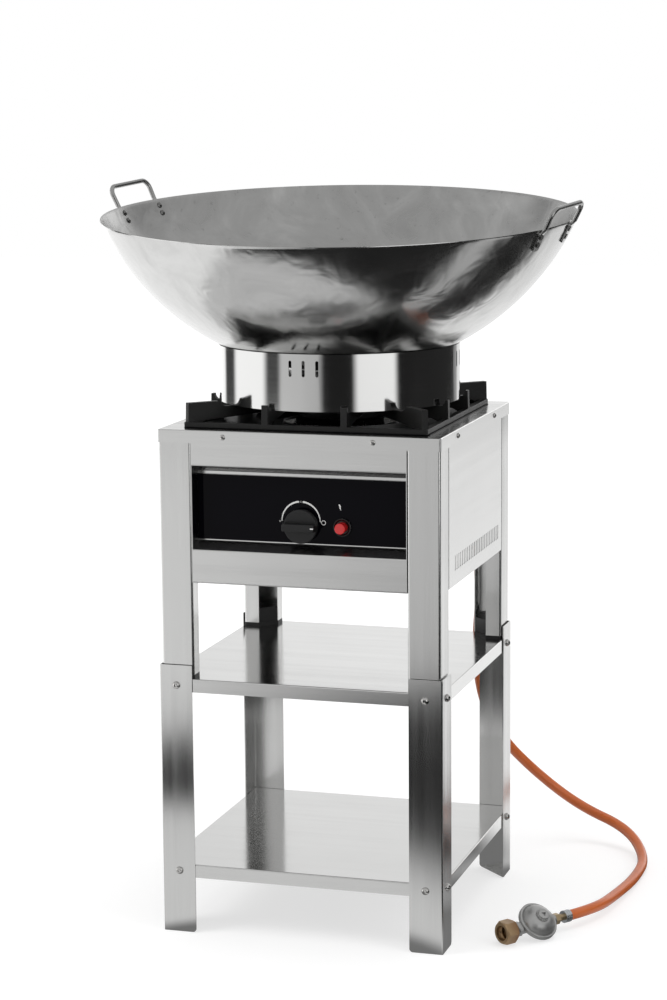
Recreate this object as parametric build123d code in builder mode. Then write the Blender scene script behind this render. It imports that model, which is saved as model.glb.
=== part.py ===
from build123d import *
import math
import os

os.makedirs("parts", exist_ok=True)

# Sizes are in mm. The stool's middle is x = y = 0, the floor is z = 0 and the front is -Y.

# top plate of the cooker
plate_side = 400.0
plate_top = 711.4
plate_sheet = 1.0
plate_rim = 18.0
plate_corner = 2.5
plate_edge = 1.5
plate_hole = 126.0

# lipped legs of the cooker and their plastic feet
leg_flange = 46.0
leg_lip = 23.0
leg_sheet = 1.2
leg_bend = 3.0
foot_height = 5.5
foot_stub = 22.0
foot_slack = 0.15

# stand
stand_gap = 2.0
stand_sheet = 1.5
stand_flange = 47.5
stand_bend = 2.0
stand_height = 383.0
stand_round = 5.0
foot_plate = 44.0
shelf_high = 364.0
shelf_low = 98.0
shelf_apron = 18.8
shelf_sheet = 1.2
shelf_return = 9.0
shelf_corner = 2.6
shelf_edge = 1.6

# bolts of the stand and screws of the rim
bolt_inset = 24.5
bolt_radius = 3.0
bolt_slack = 0.2
bolt_reach = 9.0
bolt_head_radius = 5.5
bolt_head_height = 4.4
nut_across = 10.0
nut_height = 4.8
screw_place = 106.0
screw_drop = 8.6
screw_radius = 2.0
screw_slack = 0.1
screw_head_radius = 4.0
screw_head_height = 2.4
screw_reach = 9.0

# sheet panels between the legs
panel_slack = 0.3
panel_sheet = 1.0
panel_return = 12.0
panel_height = 211.2
panel_corner = 1.4
vent_count = 26
vent_pitch = 10.0
vent_width = 4.5
vent_height = 20.4
vent_middle = 5.4
vent_above = 20.3

# pressed front with its recess, and the glass in it
fascia_height = 210.4
fascia_lip = 12.0
fascia_bend = 1.5
fascia_cheek = 31.0
recess_drop = 48.4
recess_height = 117.3
recess_depth = 26.5
recess_top_slope = 10.0
recess_foot_slope = 9.3
glass_above = 11.8
glass_height = 90.5
glass_thick = 3.0
glass_slack = 0.3
glass_edge = 0.4

# knob and gas valve
knob_x = -1.0
knob_above = 24.5
knob_radius = 23.75
knob_lift = 4.0
knob_skirt = 7.5
knob_bar = 12.5
knob_bar_height = 10.8
knob_edge = 1.2
knob_push = 3.0
knob_bore_depth = 12.5
stem_radius = 4.0
stem_slack = 0.06
stem_flat = 2.6
stem_in_valve = 22.0
valve_neck = 6.8
valve_hole_slack = 0.2
valve_collar = 12.0
valve_collar_thick = 3.5
valve_body = 13.0
valve_length = 43.0
valve_cavity = 6.0
valve_cavity_length = 12.0
cup_radius = 5.5
cup_length = 4.5
cup_slack = 0.3
valve_inlet = 7.0
valve_inlet_drop = 24.0
jet_holder = 6.5
jet_holder_length = 14.0
jet_radius = 4.6
jet_length = 9.0
jet_bore = 0.8

# igniter
igniter_x = 56.0
bezel_radius = 13.0
bezel_height = 3.4
button_radius = 7.5
button_out = 15.0
button_in = 19.0
button_travel = 5.0
button_slack = 0.15
barrel_radius = 9.0
barrel_length = 46.0
barrel_slack = 0.2
igniter_nut_across = 24.0
igniter_nut_height = 4.0

# burner
burner_x = 3.0
burner_y = -8.0
tube_radius = 18.0
tube_wall = 3.0
tube_bend = 38.0
bell_radius = 24.0
bell_length = 14.0
bell_gap = 7.0
shutter_thick = 1.5
shutter_radius = 23.0
pot_radius = 58.0
pot_wall = 5.0
pot_drop = 71.4
pot_height = 50.0
lug_reach = 71.0
lug_radius = 9.0
lug_above = 24.0
lug_thick = 8.0
head_radius = 64.0
head_wall = 5.0
head_height = 18.0
head_ports = 36
port_width = 3.0
port_height = 7.0
cap_radius = 62.0
cap_height = 6.0
register_depth = 4.0
register_slack = 0.3
bridge_width = 36.0
bridge_sheet = 1.5
bridge_upturn = 26.0
bridge_pad = 44.0
bridge_hole_slack = 3.0
electrode_radius = 4.0
electrode_collar = 5.6
electrode_above = 12.0
electrode_length = 50.0
electrode_pin = 1.2
electrode_pin_out = 9.0
thermocouple_radius = 3.0
thermocouple_length = 57.0
lug_slack = 0.15
lead_radius = 1.8
capillary_radius = 1.1
rail_radius = 5.0
rail_drop = 54.0
rail_front = -146.0
rail_bend = 18.0

# drip tray and pan support
support_x = 4.0
support_y = -8.0
tray_margin = 1.5
tray_corner = 9.0
tray_sheet = 1.0
tray_dish = 122.0
tray_floor = 100.0
tray_drop = 11.0
tray_opening = 80.0
tray_lip = 5.0
tray_lip_run = 4.0
support_slack = 0.3
frame_half = 172.5
frame_width = 9.0
frame_height = 6.8
frame_corner = 3.0
frame_edge = 1.0
finger_thick = 9.0
finger_draft = 0.8
finger_place = 56.0
finger_rise = 26.6
finger_stub = 7.5
side_stub = 4.6
side_slope = 4.2
side_finger = 92.0
corner_stub = 46.0
corner_slope = 14.0
corner_finger = 166.0
corner_back = 5.0
finger_tip = 9.0
finger_web = 12.0

# wok ring and wok
ring_x = 3.0
ring_y = -8.0
ring_radius = 170.0
ring_sheet = 1.5
ring_height = 77.9
ring_slack = 0.3
slot_width = 4.2
slot_height = 22.0
slot_drop = 8.8
slot_angle = 6.4
wok_sphere = 364.7
wok_sheet = 1.5
wok_rim_angle = 66.37
wok_tilt = 4.25
wok_tilt_heading = -79.1
wok_slack = 0.3
handle_azimuth = -11.5
handle_half_angle = 8.2
handle_rod = 3.4
handle_rise = 33.0
handle_corner = 13.0
lug_below = 17.0
lug_length = 28.0
lug_width = 13.0
lug_sheet = 2.6
lug_round = 3.0
lug_offset = 0.05
neck_low = 11.0
neck_high = 21.0
rivet_radius = 2.4
rivet_slack = 0.1
rivet_rows = (7.5, -4.5)
rivet_head = 4.3
rivet_head_height = 2.2
rivet_foot = 3.7
rivet_foot_height = 1.4
rivet_inset = 0.35

# gas hose and what is on its two ends
hose_radius = 7.5
inlet_x = 143.5
inlet_out = 20.0
inlet_thread = 6.0
inlet_thread_slack = 0.2
inlet_flange_across = 19.0
inlet_flange_thick = 6.0
inlet_nut_across = 15.0
inlet_nut_height = 5.0
elbow_radius = 9.0
elbow_outlet = 7.6
elbow_outlet_length = 20.0
elbow_lean = 5.0
union_across = 19.0
union_from = 13.0
union_height = 13.0
sleeve_radius = 8.8
sleeve_bore = 4.6
top_sleeve = 10.0
tail_slack = 0.1

# regulator on the floor
regulator_x = 276.2
regulator_y = -134.9
regulator_z = 17.6
regulator_heading = 54.0
regulator_roll = 42.0
regulator_nut_across = 30.0
regulator_nut_half = 10.0
regulator_nut_bore = 10.6
regulator_nut_bore_length = 10.0
regulator_nut_relief = 11.4
regulator_nut_wall = 4.0
nipple_neck = 6.6
nipple_collar = 9.8
nipple_collar_thick = 3.0
nipple_tip = 3.2
nipple_tip_length = 2.4
nipple_bore = 1.5
nipple_slack = 0.3
disc_place = 52.0
disc_lift = 8.0
disc_radius = 28.5
disc_thick = 4.0
bowl_depth = 15.0
bowl_radius = 17.0
body_neck = 8.5
body_neck_from = 16.0
body_outlet = 7.5
body_outlet_to = 86.0
cover_rim = 2.6
cover_radius = 25.5
cover_groove = 0.9
cover_top = 11.5
cover_height = 15.0
cover_bulge = 2.6
cap_plug_radius = 9.6
cap_plug_step = 1.3
cap_plug_height = 4.2
cap_recess_side = 7.0
cap_recess_depth = 2.4
tail_hex = 14.0
tail_hex_length = 8.0
tail_radius = 4.9
tail_end = 115.0
sleeve_length = 11.0

# places worked out from those sizes
case_half = plate_side / 2 - plate_sheet
plate_under = plate_top - plate_sheet
rim_low = plate_top - plate_rim
case_high = plate_under - (plate_edge - plate_sheet)
case_low = shelf_high + foot_height
panel_low = case_high - panel_height
vent_low = panel_low + vent_above
fascia_low = case_high - fascia_height
recess_high = plate_top - recess_drop
recess_low = recess_high - recess_height
glass_low = recess_low + glass_above
knob_z = glass_low + knob_above
igniter_z = knob_z
rail_z = knob_z - rail_drop
stand_half = case_half + stand_gap + stand_sheet
shelf_half = stand_half - stand_sheet
bay_half = case_half - leg_flange
panel_half = bay_half - panel_slack
panel_inner = case_half - panel_sheet
recess_y = -case_half + recess_depth
glass_front = recess_y - glass_thick
knob_rear = glass_front - knob_lift
knob_face = knob_rear - knob_skirt
valve_front = recess_y
valve_rear = recess_y + panel_sheet + valve_length
jet_tip = valve_rear + jet_holder_length + jet_length
bell_mouth = jet_tip + bell_gap
pot_low = plate_top - pot_drop
pot_high = pot_low + pot_height
lug_low = pot_low + lug_above
electrode_low = pot_low + electrode_above
electrode_high = electrode_low + electrode_length
electrode_pin_high = electrode_high + electrode_pin_out
thermocouple_high = electrode_low + thermocouple_length
head_high = pot_high + head_height
tray_half = frame_half + tray_margin
tray_top = plate_top + tray_sheet
frame_low = tray_top + support_slack
frame_high = frame_low + frame_height
finger_rest = plate_top + finger_rise
stub_high = finger_rest + finger_stub
ring_low = finger_rest + ring_slack
ring_high = ring_low + ring_height
ring_inner = ring_radius - ring_sheet
wok_z = ring_high + math.sqrt(wok_sphere**2 - ring_inner**2) + wok_slack

corners = {
    "front_left": (-1, -1),
    "front_right": (1, -1),
    "back_left": (-1, 1),
    "back_right": (1, 1),
}


# revolves an outline of (radius, height) points about a plane's own Z direction
def turn(plane, outline, mode=Mode.ADD):
    section = Plane(origin=plane.origin, x_dir=plane.x_dir, z_dir=-plane.y_dir)
    with BuildSketch(section) as profile:
        with BuildLine():
            Polyline(*outline, close=True)
        make_face()
    revolve(profile.sketch, axis=Axis(plane.origin, plane.z_dir), mode=mode)


# a plain cylinder on a plane, from one height along its Z direction to another
def bar(plane, radius, low, high, mode=Mode.ADD):
    with BuildSketch(plane.offset(low)) as disc:
        Circle(radius)
    extrude(disc.sketch, amount=high - low, mode=mode)


# a hexagonal bar, measured across its flats
def hexagon(plane, across, low, high, rotation=30, mode=Mode.ADD):
    with BuildSketch(plane.offset(low)) as outline:
        RegularPolygon(across / 2, 6, major_radius=False, rotation=rotation)
    extrude(outline.sketch, amount=high - low, mode=mode)


# a round tube or rod swept along corner points, with one bend radius
def bent_rod(points, bend, radius, mode=Mode.ADD):
    with BuildLine() as route:
        FilletPolyline(*points, radius=bend)
    with BuildSketch(Plane(origin=route.line @ 0, z_dir=route.line % 0)) as disc:
        Circle(radius)
    sweep(disc.sketch, path=route.line, mode=mode)


# a domed bolt head with its shank, standing on a plane whose Z direction points outward
def dome_bolt(plane, head_radius, head_height, shank, reach):
    section = Plane(origin=plane.origin, x_dir=plane.x_dir, z_dir=-plane.y_dir)
    rim = head_height * 0.25
    rise = head_height - rim
    sphere = (head_radius**2 + rise**2) / (2 * rise)
    half = math.asin(head_radius / sphere) / 2
    middle = (sphere * math.sin(half), head_height - sphere * (1 - math.cos(half)))
    with BuildSketch(section) as profile:
        with BuildLine():
            Polyline((0, head_height), (0, -reach), (shank, -reach), (shank, 0))
            Polyline((shank, 0), (head_radius, 0), (head_radius, rim))
            ThreePointArc((head_radius, rim), middle, (0, head_height))
        make_face()
    revolve(profile.sketch, axis=Axis(plane.origin, plane.z_dir))


# planes on the outer faces of the stand's legs, where the shelf bolts go
def bolt_planes(heights):
    place = stand_half - bolt_inset
    planes = []
    for side_x, side_y in corners.values():
        for height in heights:
            front = (side_x * place, side_y * stand_half, height)
            flank = (side_x * stand_half, side_y * place, height)
            planes.append(Plane(origin=front, x_dir=(1, 0, 0), z_dir=(0, side_y, 0)))
            planes.append(Plane(origin=flank, x_dir=(0, 1, 0), z_dir=(side_x, 0, 0)))
    return planes


# planes on the outer faces of the top plate's rim, where its screws go
def screw_planes():
    half = plate_side / 2
    height = plate_top - screw_drop
    planes = []
    for side in (-1, 1):
        for place in (-screw_place, screw_place):
            planes.append(Plane(origin=(place, side * half, height), x_dir=(1, 0, 0), z_dir=(0, side, 0)))
            planes.append(Plane(origin=(side * half, place, height), x_dir=(0, 1, 0), z_dir=(side, 0, 0)))
    return planes


high_bolts = bolt_planes((shelf_high - shelf_apron / 2,))
low_bolts = bolt_planes((shelf_low - shelf_apron / 2,))
rim_screw_planes = screw_planes()
knob_plane = Plane(origin=(knob_x, knob_rear, knob_z), x_dir=(1, 0, 0), z_dir=(0, -1, 0))
valve_plane = Plane(origin=(knob_x, valve_front, knob_z), x_dir=(1, 0, 0), z_dir=(0, 1, 0))
igniter_plane = Plane(origin=(igniter_x, glass_front, igniter_z), x_dir=(1, 0, 0), z_dir=(0, -1, 0))
inlet_plane = Plane(origin=(inlet_x, case_half, rail_z), x_dir=(1, 0, 0), z_dir=(0, 1, 0))
burner_plane = Plane(origin=(burner_x, burner_y, 0), x_dir=(1, 0, 0), z_dir=(0, 0, 1))
tray_plane = Plane(origin=(support_x, support_y, 0), x_dir=(1, 0, 0), z_dir=(0, 0, 1))
ring_plane = Plane(origin=(ring_x, ring_y, 0), x_dir=(1, 0, 0), z_dir=(0, 0, 1))

# legs of the stand: bent angles with a three-cornered foot plate inside the corner
for name, (side_x, side_y) in corners.items():
    middle = stand_half - stand_sheet / 2
    end = stand_half - stand_flange
    with BuildPart() as stand_leg:
        with BuildSketch():
            with BuildLine():
                FilletPolyline(
                    (side_x * end, side_y * middle),
                    (side_x * middle, side_y * middle),
                    (side_x * middle, side_y * end),
                    radius=stand_bend - stand_sheet / 2,
                )
            trace(line_width=stand_sheet)
        extrude(amount=stand_height)
        straight = stand_leg.edges().filter_by(GeomType.LINE)
        short = straight.filter_by(lambda edge: edge.length < 2 * stand_sheet)
        fillet(short.group_by(Axis.Z)[0], radius=stand_round)
        inside = stand_half - stand_sheet / 2
        with BuildSketch():
            with BuildLine():
                Polyline(
                    (side_x * inside, side_y * inside),
                    (side_x * (inside - foot_plate), side_y * inside),
                    (side_x * inside, side_y * (inside - foot_plate)),
                    close=True,
                )
            make_face()
            fillet(vertices().sort_by(Axis((0, 0, 0), (side_x, side_y, 0)))[-1], radius=1.2)
        extrude(amount=stand_sheet)
        for plane in high_bolts + low_bolts:
            bar(plane, bolt_radius + bolt_slack, -stand_sheet * 2, 1, mode=Mode.SUBTRACT)
    stand_leg.part.label = f"stand_leg_{name}"
    export_step(stand_leg.part, f"parts/stand_leg_{name}.step")

# shelves: trays turned upside down, with a return along the foot of each apron
for name, top, planes in (("upper_shelf", shelf_high, high_bolts), ("lower_shelf", shelf_low, low_bolts)):
    with BuildPart() as shelf:
        with BuildSketch(Plane.XY.offset(top - shelf_apron)):
            RectangleRounded(2 * shelf_half, 2 * shelf_half, shelf_corner)
        extrude(amount=shelf_apron)
        fillet(shelf.faces().sort_by(Axis.Z)[-1].edges(), radius=shelf_edge)
        offset(amount=-shelf_sheet, openings=shelf.faces().sort_by(Axis.Z)[0])
        with BuildSketch(Plane.XY.offset(top - shelf_apron)):
            RectangleRounded(2 * shelf_half - 0.2, 2 * shelf_half - 0.2, shelf_corner)
            inner = shelf_half - shelf_return
            Rectangle(2 * inner, 2 * inner, mode=Mode.SUBTRACT)
        extrude(amount=shelf_sheet)
        for plane in planes:
            bar(plane, bolt_radius + bolt_slack, -stand_sheet - shelf_sheet - 1, 1, mode=Mode.SUBTRACT)
    shelf.part.label = name
    export_step(shelf.part, f"parts/{name}.step")

# bolts through legs and aprons, and the nuts inside the aprons
with BuildPart() as shelf_bolts:
    for plane in high_bolts + low_bolts:
        dome_bolt(plane, bolt_head_radius, bolt_head_height, bolt_radius, bolt_reach)
shelf_bolts.part.label = "shelf_bolts"
export_step(shelf_bolts.part, "parts/shelf_bolts.step")

with BuildPart() as shelf_nuts:
    seat = -stand_sheet - shelf_sheet
    for plane in high_bolts + low_bolts:
        hexagon(plane, nut_across, seat - nut_height, seat)
        bar(plane, bolt_radius + bolt_slack / 2, seat - nut_height, seat, mode=Mode.SUBTRACT)
shelf_nuts.part.label = "shelf_nuts"
export_step(shelf_nuts.part, "parts/shelf_nuts.step")

# legs of the cooker: angles with an inward lip along both free edges
for name, (side_x, side_y) in corners.items():
    middle = case_half - leg_sheet / 2
    lip_line = bay_half + leg_sheet / 2
    lip_end = case_half - leg_lip
    route = [
        (side_x * lip_line, side_y * lip_end),
        (side_x * lip_line, side_y * middle),
        (side_x * middle, side_y * middle),
        (side_x * middle, side_y * lip_line),
        (side_x * lip_end, side_y * lip_line),
    ]
    with BuildPart() as cooker_leg:
        with BuildSketch(Plane.XY.offset(case_low)):
            with BuildLine():
                FilletPolyline(*route, radius=leg_bend - leg_sheet / 2)
            trace(line_width=leg_sheet)
        extrude(amount=case_high - case_low)
    cooker_leg.part.label = f"cooker_leg_{name}"
    export_step(cooker_leg.part, f"parts/cooker_leg_{name}.step")

# plastic feet: a five-cornered flange under each leg and a stub inside it
with BuildPart() as leg_feet:
    for side_x, side_y in corners.values():
        inset = leg_sheet + foot_slack
        for low, high, back in ((shelf_high, case_low, 0), (case_low, case_low + foot_stub, inset)):
            outer = case_half - back
            inner = bay_half + back
            slant = case_half - leg_lip + back * 0.4
            with BuildSketch(Plane.XY.offset(low)):
                with BuildLine():
                    Polyline(
                        (side_x * outer, side_y * outer),
                        (side_x * inner, side_y * outer),
                        (side_x * inner, side_y * slant),
                        (side_x * slant, side_y * inner),
                        (side_x * outer, side_y * inner),
                        close=True,
                    )
                make_face()
                square = vertices().sort_by(Axis((0, 0, 0), (side_x, side_y, 0)))[-3:]
                fillet(square, radius=leg_bend - back * 0.5)
            extrude(amount=high - low)
leg_feet.part.label = "leg_feet"
export_step(leg_feet.part, "parts/leg_feet.step")

# top plate with its folded rim
with BuildPart() as top_plate:
    with BuildSketch(Plane.XY.offset(rim_low)):
        RectangleRounded(plate_side, plate_side, plate_corner)
    extrude(amount=plate_rim)
    fillet(top_plate.faces().sort_by(Axis.Z)[-1].edges(), radius=plate_edge)
    offset(amount=-plate_sheet, openings=top_plate.faces().sort_by(Axis.Z)[0])
    bar(tray_plane, plate_hole, rim_low, plate_top + 1, mode=Mode.SUBTRACT)
    for plane in rim_screw_planes:
        bar(plane, screw_radius + screw_slack, -plate_sheet - 1, 1, mode=Mode.SUBTRACT)
top_plate.part.label = "top_plate"
export_step(top_plate.part, "parts/top_plate.step")

with BuildPart() as rim_screws:
    for plane in rim_screw_planes:
        dome_bolt(plane, screw_head_radius, screw_head_height, screw_radius, screw_reach)
rim_screws.part.label = "rim_screws"
export_step(rim_screws.part, "parts/rim_screws.step")


# a shallow sheet pan that closes the bay between two legs; its plane's Z points outward
def bay_pan(plane):
    height = case_high - panel_low
    face = plane.offset(-panel_return)
    with BuildSketch(face) as outline:
        with Locations((0, panel_low + height / 2)):
            RectangleRounded(2 * panel_half, height, panel_corner)
    extrude(outline.sketch, amount=panel_return)


# side and back panels; the plane's local Y is the world's Z
side_planes = {
    "left_side_panel": Plane(origin=(-case_half, 0, 0), x_dir=(0, -1, 0), z_dir=(-1, 0, 0)),
    "right_side_panel": Plane(origin=(case_half, 0, 0), x_dir=(0, 1, 0), z_dir=(1, 0, 0)),
    "back_panel": Plane(origin=(0, case_half, 0), x_dir=(-1, 0, 0), z_dir=(0, 1, 0)),
}
for name, plane in side_planes.items():
    with BuildPart() as panel:
        bay_pan(plane)
        opening = panel.faces().sort_by(Axis((0, 0, 0), plane.z_dir))[0]
        offset(amount=-panel_sheet, openings=opening)
        if name == "back_panel":
            bar(inlet_plane, inlet_thread + inlet_thread_slack, -panel_return, 1, mode=Mode.SUBTRACT)
        else:
            forward = vent_middle if plane.x_dir.Y > 0 else -vent_middle
            with BuildSketch(plane) as slots:
                with Locations((forward, vent_low + vent_height / 2)):
                    with GridLocations(vent_pitch, vent_height, vent_count, 1):
                        RectangleRounded(vent_width, vent_height, vent_width * 0.3)
            extrude(slots.sketch, amount=-2 * panel_sheet, mode=Mode.SUBTRACT)
        for screw in rim_screw_planes:
            bar(screw, screw_radius + screw_slack, -plate_sheet - panel_sheet - 1, 1, mode=Mode.SUBTRACT)
    panel.part.label = name
    export_step(panel.part, f"parts/{name}.step")

# pressed front: one folded sheet with a sloped recess, closed by a cheek at each end
with BuildPart() as front_fascia:
    skin = -case_half + panel_sheet / 2
    deep = recess_y + panel_sheet / 2
    with BuildSketch(Plane.YZ.offset(-panel_half)):
        with BuildLine():
            FilletPolyline(
                (skin + fascia_lip, case_high - panel_sheet / 2),
                (skin, case_high - panel_sheet / 2),
                (skin, recess_high),
                (deep, recess_high - recess_top_slope),
                (deep, recess_low + recess_foot_slope),
                (skin, recess_low),
                (skin, fascia_low + panel_sheet / 2),
                (skin + fascia_lip, fascia_low + panel_sheet / 2),
                radius=fascia_bend,
            )
        trace(line_width=panel_sheet)
    extrude(amount=2 * panel_half)
    for edge_x in (-panel_half, panel_half - panel_sheet):
        with BuildSketch(Plane.YZ.offset(edge_x)):
            with Locations((-case_half + fascia_cheek / 2, (fascia_low + case_high) / 2)):
                RectangleRounded(fascia_cheek, case_high - fascia_low, fascia_bend)
        extrude(amount=panel_sheet)
    bar(valve_plane, valve_neck + valve_hole_slack, -1, panel_sheet + 1, mode=Mode.SUBTRACT)
    bar(igniter_plane, barrel_radius + barrel_slack, -glass_thick - panel_sheet - 1, -1, mode=Mode.SUBTRACT)
    for screw in rim_screw_planes:
        bar(screw, screw_radius + screw_slack, -plate_sheet - panel_sheet - 1, 1, mode=Mode.SUBTRACT)
front_fascia.part.label = "front_fascia"
export_step(front_fascia.part, "parts/front_fascia.step")

# black glass on the recess, with a hole for the stem and one for the igniter
with BuildPart() as control_glass:
    glass_half = panel_half - panel_sheet - glass_slack
    with BuildSketch(Plane.XZ.offset(-recess_y)):
        with Locations((0, glass_low + glass_height / 2)):
            Rectangle(2 * glass_half, glass_height)
    extrude(amount=glass_thick)
    chamfer(control_glass.faces().sort_by(Axis.Y)[0].edges(), length=glass_edge)
    bar(valve_plane, valve_neck + valve_hole_slack, -glass_thick - 1, 1, mode=Mode.SUBTRACT)
    bar(igniter_plane, barrel_radius + barrel_slack, -glass_thick - 1, 1, mode=Mode.SUBTRACT)
control_glass.part.label = "control_glass"
export_step(control_glass.part, "parts/control_glass.step")

# knob: a low round skirt under a grip bar as long as the skirt is wide
with BuildPart() as knob:
    with BuildSketch(knob_plane):
        Circle(knob_radius)
    extrude(amount=knob_skirt, taper=2)
    fillet(knob.faces().sort_by(Axis.Y)[0].edges(), radius=knob_edge)
    with BuildSketch(knob_plane.offset(knob_skirt - knob_edge)):
        Rectangle(2 * knob_radius, knob_bar_height)
        Circle(knob_radius - knob_edge / 2, mode=Mode.INTERSECT)
    extrude(amount=knob_bar + knob_edge, taper=1.5)
    fillet(knob.faces().sort_by(Axis.Y)[0].edges(), radius=knob_edge)
    with BuildSketch(knob_plane) as hollow:
        Circle(knob_radius - 2)
        Circle(stem_radius + 3.5, mode=Mode.SUBTRACT)
    extrude(amount=knob_skirt - 2.5, mode=Mode.SUBTRACT)
    with BuildSketch(knob_plane):
        Circle(stem_radius + stem_slack)
        with Locations((0, stem_radius + stem_slack)):
            flat = 2 * (stem_radius - stem_flat)
            Rectangle(2 * stem_radius + 2, flat, mode=Mode.SUBTRACT)
    extrude(amount=knob_bore_depth, mode=Mode.SUBTRACT)
knob.part.label = "knob"
export_step(knob.part, "parts/knob.step")

# valve stem: round in the valve, with a flat where the knob sits
stem_out = valve_front - knob_rear + knob_bore_depth - 0.5
with BuildPart() as valve_stem:
    bar(valve_plane, stem_radius, -stem_out, stem_in_valve)
    with BuildSketch(valve_plane.offset(-stem_out)):
        with Locations((0, -stem_radius)):
            Rectangle(2 * stem_radius + 2, 2 * (stem_radius - stem_flat) + 2 * stem_slack)
    extrude(amount=knob_bore_depth + 1, mode=Mode.SUBTRACT)
valve_stem.part.label = "valve_stem"
export_step(valve_stem.part, "parts/valve_stem.step")

# spring cup behind the stem, which moves in and out with it but doesn't turn
with BuildPart() as valve_spring_cup:
    cup_from = stem_in_valve + cup_slack
    turn(
        valve_plane,
        [
            (0, cup_from),
            (cup_radius, cup_from),
            (cup_radius, cup_from + cup_length),
            (cup_radius - 1, cup_from + cup_length),
            (cup_radius - 1, cup_from + 1),
            (0, cup_from + 1),
        ],
    )
valve_spring_cup.part.label = "valve_spring_cup"
export_step(valve_spring_cup.part, "parts/valve_spring_cup.step")

# gas valve: threaded neck through the front, round body, inlet below and jet holder behind
with BuildPart() as gas_valve:
    back = valve_rear - valve_front
    collar = panel_sheet + valve_collar_thick
    bar(valve_plane, valve_neck, 0, panel_sheet)
    bar(valve_plane, valve_collar, panel_sheet, collar)
    bar(valve_plane, valve_body, collar, back)
    bar(valve_plane, jet_holder, back, back + jet_holder_length)
    hexagon(valve_plane, 2 * jet_holder + 4, back + 2, back + 9)
    inlet_top = Plane(origin=(knob_x, rail_front, knob_z), x_dir=(1, 0, 0), z_dir=(0, 0, -1))
    bar(inlet_top, valve_inlet, 0, valve_inlet_drop)
    hexagon(inlet_top, 2 * valve_inlet + 3, valve_inlet_drop - 8, valve_inlet_drop)
    bar(inlet_top, rail_radius + 0.05, valve_inlet_drop - 6, valve_inlet_drop, mode=Mode.SUBTRACT)
    cavity_from = stem_in_valve - 0.5
    bar(valve_plane, stem_radius + stem_slack, -1, cavity_from + 1, mode=Mode.SUBTRACT)
    bar(valve_plane, valve_cavity, cavity_from, cavity_from + valve_cavity_length, mode=Mode.SUBTRACT)
gas_valve.part.label = "gas_valve"
export_step(gas_valve.part, "parts/gas_valve.step")

with BuildPart() as gas_jet:
    tip = jet_tip - valve_front
    bar(valve_plane, jet_radius, tip - jet_length, tip)
    chamfer(gas_jet.faces().sort_by(Axis.Y)[-1].edges(), length=1.5)
    bar(valve_plane, jet_bore, tip - jet_length - 1, tip + 1, mode=Mode.SUBTRACT)
gas_jet.part.label = "gas_jet"
export_step(gas_jet.part, "parts/gas_jet.step")

# igniter: bezel, button, threaded barrel and the nut that holds it
with BuildPart() as igniter_bezel:
    bore = button_radius + button_slack + 0.25
    turn(
        igniter_plane,
        [
            (bore, 0),
            (bezel_radius, 0),
            (bezel_radius, bezel_height * 0.6),
            (bezel_radius - 0.9, bezel_height),
            (bezel_radius - 1.7, bezel_height),
            (bore + 1.2, bezel_height * 0.4),
            (bore, bezel_height * 0.4),
        ],
    )
igniter_bezel.part.label = "igniter_bezel"
export_step(igniter_bezel.part, "parts/igniter_bezel.step")

with BuildPart() as igniter_button:
    bar(igniter_plane, button_radius, -button_in, button_out)
    fillet(igniter_button.faces().sort_by(Axis.Y)[0].edges(), radius=1.4)
igniter_button.part.label = "igniter_button"
export_step(igniter_button.part, "parts/igniter_button.step")

with BuildPart() as igniter_barrel:
    room = button_in + button_travel + 1
    bar(igniter_plane, barrel_radius, -barrel_length, -0.1)
    bar(igniter_plane, button_radius + button_slack, -room, 1, mode=Mode.SUBTRACT)
    bar(igniter_plane, lead_radius + 1, -barrel_length - 4, -barrel_length)
igniter_barrel.part.label = "igniter_barrel"
export_step(igniter_barrel.part, "parts/igniter_barrel.step")

with BuildPart() as igniter_nut:
    nut_face = -glass_thick - panel_sheet
    hexagon(igniter_plane, igniter_nut_across, nut_face - igniter_nut_height, nut_face)
    bar(igniter_plane, barrel_radius + 0.1, nut_face - igniter_nut_height, nut_face, mode=Mode.SUBTRACT)
igniter_nut.part.label = "igniter_nut"
export_step(igniter_nut.part, "parts/igniter_nut.step")

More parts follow.
